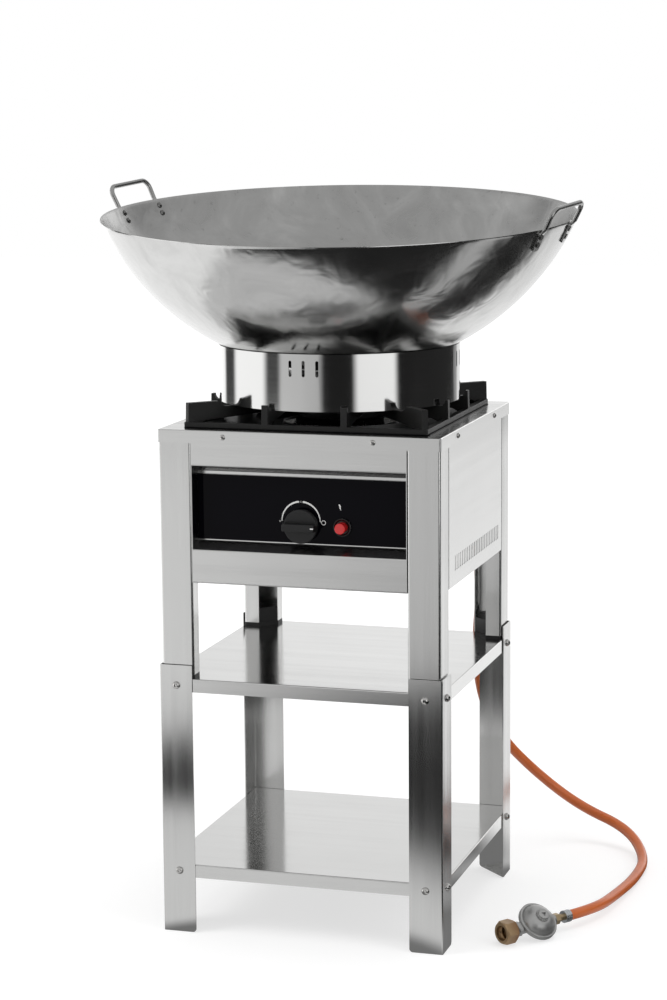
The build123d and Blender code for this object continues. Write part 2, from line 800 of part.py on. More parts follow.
# burner: cast pot with its mixing tube, and two lugs for the electrode and the thermocouple
lug_plane = {}
tube_join = Vector(0, 0, 2)
for name, heading in (("spark", -45.0), ("flame", -135.0)):
    turned = math.radians(heading)
    place = (burner_x + lug_reach * math.cos(turned), burner_y + lug_reach * math.sin(turned), 0)
    lug_plane[name] = Plane(origin=place, x_dir=(math.cos(turned), math.sin(turned), 0), z_dir=(0, 0, 1))
with BuildPart() as burner_body:
    turn(
        burner_plane,
        [
            (0, pot_low),
            (pot_radius - 12, pot_low),
            (pot_radius, pot_low + 12),
            (pot_radius, pot_high - 6),
            (pot_radius + 3, pot_high - 6),
            (pot_radius + 3, pot_high),
            (0, pot_high),
        ],
    )
    tube_from = Vector(knob_x, bell_mouth, knob_z)
    tube_turn = Vector(burner_x, burner_y, knob_z)
    tube_to = Vector(burner_x, burner_y, pot_low + pot_wall)
    bent_rod([tube_from, tube_turn, tube_to + tube_join], tube_bend, tube_radius)
    mouth = Plane(origin=tube_from, x_dir=(0, 0, 1), z_dir=tube_turn - tube_from)
    bell = tube_radius - tube_wall
    turn(mouth, [(0, 0), (bell_radius, 0), (bell_radius, 3), (tube_radius, bell_length), (0, bell_length)])
    for plane in lug_plane.values():
        bar(plane, lug_radius, lug_low, lug_low + lug_thick)
        with BuildSketch(plane.offset(lug_low)) as web:
            with Locations((-(lug_reach - pot_radius + 2) / 2, 0)):
                Rectangle(lug_reach - pot_radius + 2, 1.6 * lug_radius)
        extrude(web.sketch, amount=lug_thick)
    turn(
        burner_plane,
        [
            (0, pot_low + pot_wall),
            (pot_radius - 12 - pot_wall / 2, pot_low + pot_wall),
            (pot_radius - pot_wall, pot_low + 12 + pot_wall / 2),
            (pot_radius - pot_wall, pot_high + 1),
            (0, pot_high + 1),
        ],
        mode=Mode.SUBTRACT,
    )
    tube_back = tube_from - mouth.z_dir
    bent_rod([tube_back, tube_turn, tube_to + 4 * tube_join], tube_bend, bell, mode=Mode.SUBTRACT)
    lip = bell_radius - 2
    flare = [(0, -1), (lip, -1), (lip - 0.6, 2), (bell - 1, bell_length), (0, bell_length)]
    turn(mouth, flare, mode=Mode.SUBTRACT)
    for name, radius in (("spark", electrode_radius), ("flame", thermocouple_radius)):
        bar(lug_plane[name], radius + lug_slack, lug_low - 1, lug_low + lug_thick + 1, mode=Mode.SUBTRACT)
burner_body.part.label = "burner_body"
export_step(burner_body.part, "parts/burner_body.step")

# air shutter: a disc on the jet holder in front of the mixing tube
with BuildPart() as air_shutter:
    shutter_at = valve_rear - valve_front + jet_holder_length - 2 * shutter_thick
    bar(valve_plane, shutter_radius, shutter_at, shutter_at + shutter_thick)
    bar(valve_plane, jet_holder + 0.05, shutter_at - 1, shutter_at + 3, mode=Mode.SUBTRACT)
    with BuildSketch(valve_plane.offset(shutter_at)) as windows:
        with PolarLocations((shutter_radius + jet_holder) / 2 + 1, 4, start_angle=45):
            SlotOverall(12, 6, rotation=90)
    extrude(windows.sketch, amount=shutter_thick, mode=Mode.SUBTRACT)
air_shutter.part.label = "air_shutter"
export_step(air_shutter.part, "parts/air_shutter.step")

# flame head: a ring channel with a slot for every port, and its lid
with BuildPart() as burner_head:
    register = pot_radius - pot_wall - register_slack
    turn(
        burner_plane,
        [
            (register - 3, pot_high - register_depth),
            (register, pot_high - register_depth),
            (register, pot_high),
            (head_radius, pot_high),
            (head_radius, pot_high + 3),
            (head_radius - 2, head_high),
            (head_radius - 2 - head_wall, head_high),
            (head_radius - 2 - head_wall, pot_high + 3),
            (register - 3, pot_high + 3),
        ],
    )
    ports = burner_plane.offset(head_high - port_height)
    with BuildSketch(ports) as port_slots:
        with PolarLocations(head_radius - head_wall / 2, head_ports):
            Rectangle(3 * head_wall, port_width)
    extrude(port_slots.sketch, amount=port_height - 2, mode=Mode.SUBTRACT)
burner_head.part.label = "burner_head"
export_step(burner_head.part, "parts/burner_head.step")

with BuildPart() as burner_cap:
    lid_register = head_radius - 2 - head_wall - register_slack
    turn(
        burner_plane,
        [
            (lid_register - 4, head_high - 2),
            (lid_register, head_high - 2),
            (lid_register, head_high),
            (cap_radius, head_high),
            (cap_radius, head_high + 2),
            (cap_radius - 6, head_high + cap_height - 1),
            (0, head_high + cap_height),
            (0, head_high + cap_height - 3),
            (lid_register - 4, head_high + cap_height - 4),
        ],
    )
burner_cap.part.label = "burner_cap"
export_step(burner_cap.part, "parts/burner_cap.step")

# bridge that carries the burner, from one side panel to the other
with BuildPart() as burner_bridge:
    level = pot_low - bridge_sheet / 2
    reach = panel_inner - bridge_sheet / 2
    with BuildSketch(Plane.XZ.offset(-burner_y - bridge_width / 2)):
        with BuildLine():
            FilletPolyline(
                (-reach, level + bridge_upturn),
                (-reach, level),
                (reach, level),
                (reach, level + bridge_upturn),
                radius=3,
            )
        trace(line_width=bridge_sheet)
    extrude(amount=bridge_width)
    bar(burner_plane, bridge_pad, pot_low - bridge_sheet, pot_low)
    bar(burner_plane, tube_radius + bridge_hole_slack, pot_low - 3, pot_low + 1, mode=Mode.SUBTRACT)
burner_bridge.part.label = "burner_bridge"
export_step(burner_bridge.part, "parts/burner_bridge.step")

with BuildPart() as spark_electrode:
    on_lug = lug_low + lug_thick
    bar(lug_plane["spark"], electrode_radius, electrode_low, electrode_high)
    bar(lug_plane["spark"], electrode_collar, on_lug, on_lug + 3)
    bar(lug_plane["spark"], electrode_pin + 0.02, electrode_low - 1, electrode_high + 1, mode=Mode.SUBTRACT)
spark_electrode.part.label = "spark_electrode"
export_step(spark_electrode.part, "parts/spark_electrode.step")

with BuildPart() as spark_pin:
    bar(lug_plane["spark"], electrode_pin, electrode_low - 2, electrode_pin_high)
spark_pin.part.label = "spark_pin"
export_step(spark_pin.part, "parts/spark_pin.step")

with BuildPart() as thermocouple:
    bar(lug_plane["flame"], thermocouple_radius, electrode_low, thermocouple_high)
    bar(lug_plane["flame"], thermocouple_radius + 1.6, on_lug, on_lug + 3)
    fillet(thermocouple.faces().sort_by(Axis.Z)[-1].edges(), radius=1.5)
thermocouple.part.label = "thermocouple"
export_step(thermocouple.part, "parts/thermocouple.step")

# spark lead and thermocouple capillary, each from its fitting to the foot of its probe
spark_at = lug_plane["spark"].origin
flame_at = lug_plane["flame"].origin
lead_from = glass_front + barrel_length + 4
with BuildPart() as spark_lead:
    lead_route = [
        (igniter_x, lead_from, igniter_z),
        (igniter_x, lead_from + 24, igniter_z),
        (spark_at.X, spark_at.Y, igniter_z + 22),
        (spark_at.X, spark_at.Y, electrode_low - 2),
    ]
    bent_rod(lead_route, 12, lead_radius)
spark_lead.part.label = "spark_lead"
export_step(spark_lead.part, "parts/spark_lead.step")

with BuildPart() as thermocouple_tube:
    side_x = knob_x - valve_body
    capillary_route = [
        (side_x, rail_front, knob_z),
        (flame_at.X, rail_front, knob_z),
        (flame_at.X, flame_at.Y, knob_z + 10),
        (flame_at.X, flame_at.Y, electrode_low),
    ]
    bent_rod(capillary_route, 14, capillary_radius)
thermocouple_tube.part.label = "thermocouple_tube"
export_step(thermocouple_tube.part, "parts/thermocouple_tube.step")

# gas rail from the inlet at the back, along the right side, to the valve
inlet_inner = case_half - panel_sheet - inlet_nut_height - 6
with BuildPart() as gas_rail:
    rail_route = [
        (inlet_x, inlet_inner, rail_z),
        (inlet_x, rail_front, rail_z),
        (knob_x, rail_front, rail_z),
        (knob_x, rail_front, knob_z - valve_inlet_drop + 6),
    ]
    bent_rod(rail_route, rail_bend, rail_radius)
gas_rail.part.label = "gas_rail"
export_step(gas_rail.part, "parts/gas_rail.step")

# inlet elbow behind the back panel, leaning a little to the right
lean = math.radians(elbow_lean)
drop = Vector(math.sin(lean), 0, -math.cos(lean))
elbow_centre = Vector(inlet_x, case_half + inlet_out, rail_z)
drop_plane = Plane(origin=elbow_centre, x_dir=(0, 1, 0), z_dir=drop)
with BuildPart() as inlet_elbow:
    bar(inlet_plane, inlet_thread, -panel_sheet - inlet_nut_height - 6, inlet_out)
    hexagon(inlet_plane, inlet_flange_across, 0, inlet_flange_thick)
    bar(inlet_plane, elbow_radius - 1, inlet_flange_thick, inlet_out)
    with Locations(Location(elbow_centre)):
        Sphere(elbow_radius)
    bar(drop_plane, elbow_outlet, 0, elbow_outlet_length)
inlet_elbow.part.label = "inlet_elbow"
export_step(inlet_elbow.part, "parts/inlet_elbow.step")

with BuildPart() as inlet_nut:
    inside = -panel_sheet
    hexagon(inlet_plane, inlet_nut_across, inside - inlet_nut_height, inside)
    bar(inlet_plane, inlet_thread + 0.05, inside - inlet_nut_height, inside, mode=Mode.SUBTRACT)
inlet_nut.part.label = "inlet_nut"
export_step(inlet_nut.part, "parts/inlet_nut.step")

with BuildPart() as hose_union:
    union_to = union_from + union_height
    hexagon(drop_plane, union_across, union_from, union_to)
    bar(drop_plane, elbow_outlet + 0.05, union_from - 1, elbow_outlet_length, mode=Mode.SUBTRACT)
    chamfer(hose_union.faces().sort_by(Axis((0, 0, 0), drop))[-1].outer_wire().edges(), length=1)
hose_union.part.label = "hose_union"
export_step(hose_union.part, "parts/hose_union.step")

with BuildPart() as upper_ferrule:
    bar(drop_plane, sleeve_radius, union_to, union_to + top_sleeve)
    fillet(upper_ferrule.edges().filter_by(GeomType.CIRCLE), radius=0.6)
upper_ferrule.part.label = "upper_ferrule"
export_step(upper_ferrule.part, "parts/upper_ferrule.step")

# regulator: its axis lies level on the floor, from the union nut to the hose
ahead = math.radians(regulator_heading)
axis = Vector(math.cos(ahead), math.sin(ahead), 0)
right_of = Vector(math.sin(ahead), -math.cos(ahead), 0)
roll = math.radians(regulator_roll)
disc_up = right_of * math.sin(roll) + Vector(0, 0, 1) * math.cos(roll)
nut_centre = Vector(regulator_x, regulator_y, regulator_z)
axis_plane = Plane(origin=nut_centre, x_dir=(0, 0, 1), z_dir=axis)
disc_centre = nut_centre + axis * disc_place + disc_up * disc_lift
disc_plane = Plane(origin=disc_centre, x_dir=axis, z_dir=disc_up)

with BuildPart() as regulator_nut:
    across = regulator_nut_across / 2
    corner = across / math.cos(math.radians(30))
    hexagon(axis_plane, regulator_nut_across, -regulator_nut_half, regulator_nut_half)
    inner = nipple_neck + nipple_slack
    floor_at = regulator_nut_half - regulator_nut_wall
    bore_to = regulator_nut_bore_length - regulator_nut_half
    bar(axis_plane, regulator_nut_bore, -regulator_nut_half - 1, bore_to, mode=Mode.SUBTRACT)
    bar(axis_plane, regulator_nut_relief, bore_to, floor_at, mode=Mode.SUBTRACT)
    bar(axis_plane, inner, floor_at - 1, regulator_nut_half + 1, mode=Mode.SUBTRACT)
    near = across - 0.8
    for end, run in ((-regulator_nut_half, 5.0), (regulator_nut_half, -3.0)):
        turn(axis_plane, [(near, end), (corner + 2, end), (corner + 2, end + run)], mode=Mode.SUBTRACT)
regulator_nut.part.label = "regulator_nut"
export_step(regulator_nut.part, "parts/regulator_nut.step")

with BuildPart() as regulator_nipple:
    collar_to = floor_at - nipple_slack
    collar_from = collar_to - nipple_collar_thick
    bar(axis_plane, nipple_neck, collar_from, body_neck_from + 6)
    bar(axis_plane, nipple_collar, collar_from, collar_to)
    bar(axis_plane, nipple_tip, collar_from - nipple_tip_length, collar_from)
    bar(axis_plane, nipple_bore, collar_from - nipple_tip_length - 1, body_neck_from, mode=Mode.SUBTRACT)
regulator_nipple.part.label = "regulator_nipple"
export_step(regulator_nipple.part, "parts/regulator_nipple.step")

with BuildPart() as regulator_body:
    turn(
        disc_plane,
        [
            (0, -bowl_depth),
            (bowl_radius - 4, -bowl_depth),
            (bowl_radius, -bowl_depth + 4),
            (disc_radius - 3, -disc_thick),
            (disc_radius, -disc_thick + 0.8),
            (disc_radius, 0),
            (0, 0),
        ],
    )
    bar(axis_plane, body_neck, body_neck_from, disc_place)
    hexagon(axis_plane, 2 * body_neck + 1, body_neck_from + 1, body_neck_from + 7)
    bar(axis_plane, body_outlet, disc_place, body_outlet_to)
    with BuildSketch(disc_plane) as above:
        Circle(disc_radius + 10)
    extrude(above.sketch, amount=30, mode=Mode.SUBTRACT)
    bar(axis_plane, nipple_neck + 0.02, body_neck_from - 1, body_neck_from + 6, mode=Mode.SUBTRACT)
    bar(axis_plane, tail_radius, body_outlet_to - 6, body_outlet_to + 1, mode=Mode.SUBTRACT)
regulator_body.part.label = "regulator_body"
export_step(regulator_body.part, "parts/regulator_body.step")

with BuildPart() as regulator_cover:
    foot = (cover_radius - cover_groove, cover_rim - cover_groove)
    brow = (cover_top, cover_height)
    slope = Vector(foot[1] - brow[1], foot[0] - brow[0]).normalized()
    halfway = ((foot[0] + brow[0]) / 2, (foot[1] + brow[1]) / 2)
    belly = (halfway[0] - slope.X * cover_bulge, halfway[1] + slope.Y * cover_bulge)
    with BuildSketch(Plane(origin=disc_centre, x_dir=disc_plane.x_dir, z_dir=-disc_plane.y_dir)) as profile:
        with BuildLine():
            Polyline((0, cover_height), (0, 0), (disc_radius, 0), (disc_radius, cover_rim - 0.8))
            Polyline((disc_radius, cover_rim - 0.8), (disc_radius - 0.8, cover_rim))
            Polyline((disc_radius - 0.8, cover_rim), (cover_radius, cover_rim), foot)
            ThreePointArc(foot, belly, brow)
            Line(brow, (0, cover_height))
        make_face()
    revolve(profile.sketch, axis=Axis(disc_centre, disc_up))
regulator_cover.part.label = "regulator_cover"
export_step(regulator_cover.part, "parts/regulator_cover.step")

with BuildPart() as regulator_plug:
    plug_top = cover_height + cap_plug_height
    plug_step = cover_height + cap_plug_height / 2
    bar(disc_plane, cap_plug_radius, cover_height, plug_step)
    bar(disc_plane, cap_plug_radius - cap_plug_step, plug_step, plug_top)
    chamfer(regulator_plug.faces().sort_by(Axis((0, 0, 0), disc_up))[-1].edges(), length=0.8)
    with BuildSketch(disc_plane.offset(plug_top)):
        RegularPolygon(cap_recess_side * 0.58, 3, rotation=20)
    extrude(amount=-cap_recess_depth, mode=Mode.SUBTRACT)
regulator_plug.part.label = "regulator_plug"
export_step(regulator_plug.part, "parts/regulator_plug.step")

with BuildPart() as regulator_tail:
    bar(axis_plane, tail_radius - tail_slack / 2, body_outlet_to - 5.8, tail_end - 1)
    hexagon(axis_plane, tail_hex, body_outlet_to, body_outlet_to + tail_hex_length)
regulator_tail.part.label = "regulator_tail"
export_step(regulator_tail.part, "parts/regulator_tail.step")

with BuildPart() as lower_ferrule:
    bar(axis_plane, sleeve_radius, tail_end - sleeve_length, tail_end)
    fillet(lower_ferrule.edges().filter_by(GeomType.CIRCLE), radius=0.6)
    for groove in (0.35, 0.65):
        at = tail_end - sleeve_length * groove
        turn(
            axis_plane,
            [(sleeve_radius - 0.6, at), (sleeve_radius + 1, at - 1.2), (sleeve_radius + 1, at + 1.2)],
            mode=Mode.SUBTRACT,
        )
    bar(axis_plane, tail_radius, tail_end - sleeve_length - 1, tail_end - 1, mode=Mode.SUBTRACT)
lower_ferrule.part.label = "lower_ferrule"
export_step(lower_ferrule.part, "parts/lower_ferrule.step")

# gas hose: down behind the stool, out in a wide bend and back over the floor
hose_start = elbow_centre + drop * (union_to + top_sleeve)
hose_end = nut_centre + axis * tail_end
hose_points = [
    hose_start,
    hose_start + drop * 68,
    Vector(143.8, 227.5, 343.0),
    Vector(141.2, 258.6, 257.5),
    Vector(158.8, 310.8, 178.2),
    Vector(205.4, 359.9, 109.9),
    Vector(272.4, 378.0, 54.7),
    Vector(353.7, 355.5, 31.0),
    Vector(395.3, 278.7, 9.7),
    Vector(397.1, 182.5, 8.2),
    Vector(386.2, 87.4, 11.5),
    hose_end + axis * 53,
    hose_end,
]
hose_radii = []
for before, at, after in zip(hose_points, hose_points[1:], hose_points[2:]):
    run_in = at - before
    run_out = after - at
    half_turn = math.radians(run_in.get_angle(run_out)) / 2
    hose_radii.append(0.45 * min(run_in.length, run_out.length) / math.tan(half_turn))
print("hose bend radii", [round(radius) for radius in hose_radii])
with BuildPart() as gas_hose:
    with BuildLine() as hose_route:
        FilletPolyline(*hose_points, radius=hose_radii)
    with BuildSketch(Plane(origin=hose_route.line @ 0, z_dir=hose_route.line % 0)):
        Circle(hose_radius)
    sweep(path=hose_route.line)
gas_hose.part.label = "gas_hose"
export_step(gas_hose.part, "parts/gas_hose.step")
hose_length = sum(edge.length for edge in hose_route.line.edges())
full_volume = math.pi * hose_radius**2 * hose_length
print("hose length", round(hose_length), "volume share", round(gas_hose.part.volume / full_volume, 4))

# drip tray: square flange on the top plate, dished round the burner
with BuildPart() as drip_tray:
    with BuildSketch(tray_plane.offset(plate_top)):
        RectangleRounded(2 * tray_half, 2 * tray_half, tray_corner)
        Circle(tray_dish, mode=Mode.SUBTRACT)
    extrude(amount=tray_sheet)
    middle = plate_top + tray_sheet / 2
    dish = Plane(origin=(support_x, support_y, 0), x_dir=(1, 0, 0), z_dir=(0, -1, 0))
    with BuildSketch(dish):
        with BuildLine():
            FilletPolyline(
                (tray_dish + 1, middle),
                (tray_dish - 2, middle),
                (tray_floor, middle - tray_drop),
                (tray_opening + tray_lip_run, middle - tray_drop),
                (tray_opening, middle - tray_drop + tray_lip),
                radius=1.5,
            )
        trace(line_width=tray_sheet)
    revolve(axis=Axis((support_x, support_y, 0), (0, 0, 1)))
drip_tray.part.label = "drip_tray"
export_step(drip_tray.part, "parts/drip_tray.step")


# plane of one finger: local X runs inward from the frame's outside, local Y is up
def finger_plane(heading, shift, outside):
    turned = math.radians(heading)
    out = Vector(math.cos(turned), math.sin(turned), 0)
    along = Vector(-math.sin(turned), math.cos(turned), 0)
    origin = Vector(support_x, support_y, 0) + out * outside + along * shift
    return Plane(origin=origin, x_dir=-out, z_dir=(-out).cross(Vector(0, 0, 1)))


# one finger: stub at the frame, hollow slope down to the rest, and a rising underside
def finger(plane, stub, slope, length, root):
    stub_in = (stub, stub_high)
    rest_out = (stub + slope, finger_rest)
    middle = (stub + slope * 0.36, finger_rest + finger_stub * 0.34)
    with BuildSketch(plane) as outline:
        with BuildLine():
            Polyline((0, frame_low), (finger_draft, stub_high), stub_in)
            ThreePointArc(stub_in, middle, rest_out)
            Polyline(rest_out, (length, finger_rest), (length, finger_rest - finger_tip))
            Polyline((length, finger_rest - finger_tip), (root + 14, frame_high + 0.6), (root, frame_low))
            Line((root, frame_low), (0, frame_low))
        make_face()
    extrude(outline.sketch, amount=finger_thick / 2, both=True)


# pan support: square cast frame with a finger in each corner and two on each side
with BuildPart() as pan_support:
    with BuildSketch(tray_plane.offset(frame_low)):
        RectangleRounded(2 * frame_half, 2 * frame_half, frame_corner)
        inside = frame_half - frame_width
        Rectangle(2 * inside, 2 * inside, mode=Mode.SUBTRACT)
    extrude(amount=frame_height)
    fillet(pan_support.faces().sort_by(Axis.Z)[-1].outer_wire().edges(), radius=frame_edge)
    for quarter in range(4):
        heading = 90 * quarter
        for shift in (-finger_place, finger_place):
            side_plane = finger_plane(heading, shift, frame_half)
            finger(side_plane, side_stub, side_slope, side_finger, frame_width)
        corner_out = frame_half * math.sqrt(2) - corner_back
        corner_plane = finger_plane(heading + 45, 0, corner_out)
        finger(corner_plane, corner_stub, corner_slope, corner_finger, finger_web)
pan_support.part.label = "pan_support"
export_step(pan_support.part, "parts/pan_support.step")

# wok ring: a plain band with three upright slots on each of four sides
with BuildPart() as wok_ring:
    with BuildSketch(ring_plane.offset(ring_low)):
        Circle(ring_radius)
        Circle(ring_inner, mode=Mode.SUBTRACT)
    extrude(amount=ring_height)
    slot_z = ring_high - slot_drop - slot_height / 2
    for quarter in range(4):
        for step in (-1, 0, 1):
            turned = math.radians(90 * quarter + step * slot_angle)
            out = Vector(math.cos(turned), math.sin(turned), 0)
            face = Plane(origin=(ring_x, ring_y, slot_z), x_dir=(0, 0, 1), z_dir=out)
            with BuildSketch(face):
                SlotOverall(slot_height, slot_width)
            extrude(amount=ring_radius + 5, mode=Mode.SUBTRACT)
wok_ring.part.label = "wok_ring"
export_step(wok_ring.part, "parts/wok_ring.step")

# the wok lies a little tipped on its ring, so all of it is placed from the bowl's own axis
tilt = math.radians(wok_tilt)
tilt_way = math.radians(wok_tilt_heading)
wok_up = Vector(math.sin(tilt) * math.cos(tilt_way), math.sin(tilt) * math.sin(tilt_way), math.cos(tilt))
wok_east = (Vector(1, 0, 0) - wok_up * wok_up.X).normalized()
wok_north = wok_up.cross(wok_east)
wok_centre = Vector(ring_x, ring_y, wok_z)
rim_angle = math.radians(wok_rim_angle)


# flat plane of one handle lug: on the outside of the bowl, local Y up the wall, Z outward
def lug_frame(azimuth):
    turned = math.radians(azimuth)
    out = wok_east * math.cos(turned) + wok_north * math.sin(turned)
    angle = rim_angle - lug_below / wok_sphere
    normal = out * math.sin(angle) - wok_up * math.cos(angle)
    rise = out * math.cos(angle) + wok_up * math.sin(angle)
    origin = wok_centre + normal * (wok_sphere + lug_offset)
    return Plane(origin=origin, x_dir=rise.cross(normal), z_dir=normal)


# planes of the rivets in one lug, on the outside of the bowl
def rivet_planes(frame):
    places = [frame.from_local_coords((0, row, 0)) for row in rivet_rows]
    return [Plane(origin=place, x_dir=frame.x_dir, z_dir=frame.z_dir) for place in places]


handle_sides = {"wok_handle_right": handle_azimuth, "wok_handle_left": handle_azimuth + 180}
lug_frames = {}
for name, azimuth in handle_sides.items():
    lug_frames[name] = [lug_frame(azimuth - handle_half_angle), lug_frame(azimuth + handle_half_angle)]

with BuildPart() as wok_pan:
    section = Plane(origin=wok_centre, x_dir=wok_east, z_dir=-wok_north)
    inner_sphere = wok_sphere - wok_sheet
    rim_out = (wok_sphere * math.sin(rim_angle), -wok_sphere * math.cos(rim_angle))
    rim_in = (inner_sphere * math.sin(rim_angle), -inner_sphere * math.cos(rim_angle))
    half_angle = rim_angle / 2
    with BuildSketch(section):
        with BuildLine():
            ThreePointArc(
                (0, -wok_sphere),
                (wok_sphere * math.sin(half_angle), -wok_sphere * math.cos(half_angle)),
                rim_out,
            )
            Line(rim_out, rim_in)
            ThreePointArc(
                rim_in,
                (inner_sphere * math.sin(half_angle), -inner_sphere * math.cos(half_angle)),
                (0, -inner_sphere),
            )
            Line((0, -inner_sphere), (0, -wok_sphere))
        make_face()
    revolve(axis=Axis(wok_centre, wok_up))
    for frames in lug_frames.values():
        for frame in frames:
            for hole in rivet_planes(frame):
                bar(hole, rivet_radius + rivet_slack, -4 * wok_sheet, 2 * wok_sheet, mode=Mode.SUBTRACT)
wok_pan.part.label = "wok_pan"
export_step(wok_pan.part, "parts/wok_pan.step")

for name, frames in lug_frames.items():
    with BuildPart() as handle:
        bends = []
        for frame in frames:
            rise = frame.y_dir
            with BuildSketch(frame) as lug:
                RectangleRounded(lug_width, lug_length, lug_round)
            extrude(lug.sketch, amount=lug_sheet)
            flat = Plane(
                origin=frame.from_local_coords((0, neck_low, lug_sheet / 2)),
                x_dir=frame.x_dir,
                z_dir=rise,
            )
            round_end = Plane(
                origin=frame.from_local_coords((0, neck_high, handle_rod)),
                x_dir=frame.x_dir,
                z_dir=rise,
            )
            with BuildSketch(flat) as neck_foot:
                RectangleRounded(lug_width - 2, lug_sheet, lug_sheet * 0.4)
            with BuildSketch(round_end) as neck_top:
                Circle(handle_rod)
            loft([neck_foot.sketch.face(), neck_top.sketch.face()])
            top = frame.from_local_coords((0, lug_below + handle_rise, handle_rod))
            bends.append((round_end.origin, top))
        points = [bends[0][0], bends[0][1], bends[1][1], bends[1][0]]
        bent_rod(points, handle_corner, handle_rod)
        for frame in frames:
            for hole in rivet_planes(frame):
                bar(hole, rivet_radius + rivet_slack, -1, 3 * lug_sheet, mode=Mode.SUBTRACT)
    handle.part.label = name
    export_step(handle.part, f"parts/{name}.step")

# rivets: a domed head inside the bowl, a shank through wall and lug, and a closed end outside
with BuildPart() as wok_rivets:
    inside_wall = wok_sheet + rivet_inset
    reach = inside_wall + lug_sheet + lug_offset
    for frames in lug_frames.values():
        for frame in frames:
            for hole in rivet_planes(frame):
                under = hole.offset(-inside_wall)
                under = Plane(origin=under.origin, x_dir=hole.x_dir, z_dir=-hole.z_dir)
                dome_bolt(under, rivet_head, rivet_head_height, rivet_radius, reach)
                bar(under, rivet_foot, -reach - rivet_foot_height, -reach)
wok_rivets.part.label = "wok_rivets"
export_step(wok_rivets.part, "parts/wok_rivets.step")
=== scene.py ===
import math

import bmesh
import bpy
from mathutils import Matrix, Vector


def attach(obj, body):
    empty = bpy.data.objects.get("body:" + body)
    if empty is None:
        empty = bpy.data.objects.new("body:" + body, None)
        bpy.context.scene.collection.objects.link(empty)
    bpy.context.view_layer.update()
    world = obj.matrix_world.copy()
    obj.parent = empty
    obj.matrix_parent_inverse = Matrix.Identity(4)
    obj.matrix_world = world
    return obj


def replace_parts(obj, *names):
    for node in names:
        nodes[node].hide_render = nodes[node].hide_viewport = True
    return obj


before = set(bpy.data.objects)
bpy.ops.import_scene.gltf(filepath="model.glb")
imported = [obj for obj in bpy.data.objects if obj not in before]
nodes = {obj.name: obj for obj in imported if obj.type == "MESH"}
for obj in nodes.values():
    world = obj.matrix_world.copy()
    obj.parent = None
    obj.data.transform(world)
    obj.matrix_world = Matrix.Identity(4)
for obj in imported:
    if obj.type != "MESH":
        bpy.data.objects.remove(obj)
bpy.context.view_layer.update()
mm = 0.001
print("frame loaded,", len(nodes), "nodes")

# The camera stands a little right of the front and looks slightly down, as for a catalogue picture.
cameraSizes = {
    "place": (1.0657, -3.5268, 1.1996),
    "heading": 16.963,
    "down": 9.408,
    "roll": -0.474,
    "lens": 94.448,
    "sensor": 36.0,
}


def makeCamera(s):
    heading, down, roll = (math.radians(s[k]) for k in ("heading", "down", "roll"))
    level = math.cos(down)
    ahead = Vector((-math.sin(heading) * level, math.cos(heading) * level, -math.sin(down)))
    right = Vector((math.cos(heading), math.sin(heading), 0))
    up = right.cross(ahead)
    rightRolled = right * math.cos(roll) + up * math.sin(roll)
    upRolled = up * math.cos(roll) - right * math.sin(roll)
    lens = bpy.data.cameras.new("catalogueCamera")
    lens.lens = s["lens"]
    lens.sensor_width = s["sensor"]
    lens.clip_end = 30
    eye = bpy.data.objects.new("catalogueCamera", lens)
    bpy.context.scene.collection.objects.link(eye)
    turned = Matrix((rightRolled, upRolled, -ahead)).transposed().to_4x4()
    eye.matrix_world = Matrix.Translation(Vector(s["place"])) @ turned
    bpy.context.scene.camera = eye


makeCamera(cameraSizes)


def linear(code):
    # a hex colour as it looks on a screen, turned into the shader's linear numbers
    parts = [int(code[i:i + 2], 16) / 255 for i in (1, 3, 5)]
    return [c / 12.92 if c <= 0.04045 else ((c + 0.055) / 1.055) ** 2.4 for c in parts] + [1.0]


def grey(value):
    return [value, value, value, 1.0]


def node(tree, kind, settings=None, **links):
    # one node with its settings; a link is (node, output) and anything else is a socket's value
    made = tree.nodes.new(kind)
    for name, value in (settings or {}).items():
        if name == "stops":
            ends = made.color_ramp.elements
            ends[0].position, ends[0].color = value[0]
            ends[1].position, ends[1].color = value[-1]
            for place, colour in value[1:-1]:
                ends.new(place).color = colour
        else:
            setattr(made, name, value)
    for name, value in links.items():
        key = int(name[1:]) if name[0] == "i" and name[1:].isdigit() else name.replace("_", " ")
        socket = made.inputs[key]
        sources = value if isinstance(value, list) and hasattr(value[0], "__len__") else [value]
        if isinstance(sources[0], tuple) and hasattr(sources[0][0], "outputs"):
            for source in reversed(sources):
                tree.links.new(source[0].outputs[source[1]], socket)
        else:
            socket.default_value = value
    return made


def newMaterial(name):
    made = bpy.data.materials.new(name)
    made.use_nodes = True
    made.node_tree.nodes.clear()
    return made, made.node_tree


# Stainless sheet, type 304, ground with fine grit along one direction: neutral grey, reflections drawn out
# across the grain. The real lines are about 0.05 mm apart, too fine to show, so they are drawn 0.6 mm apart.
grindSizes = {"across": 0.6, "along": 70.0, "broader": 25, "dim": 0.955, "wander": 0.035}


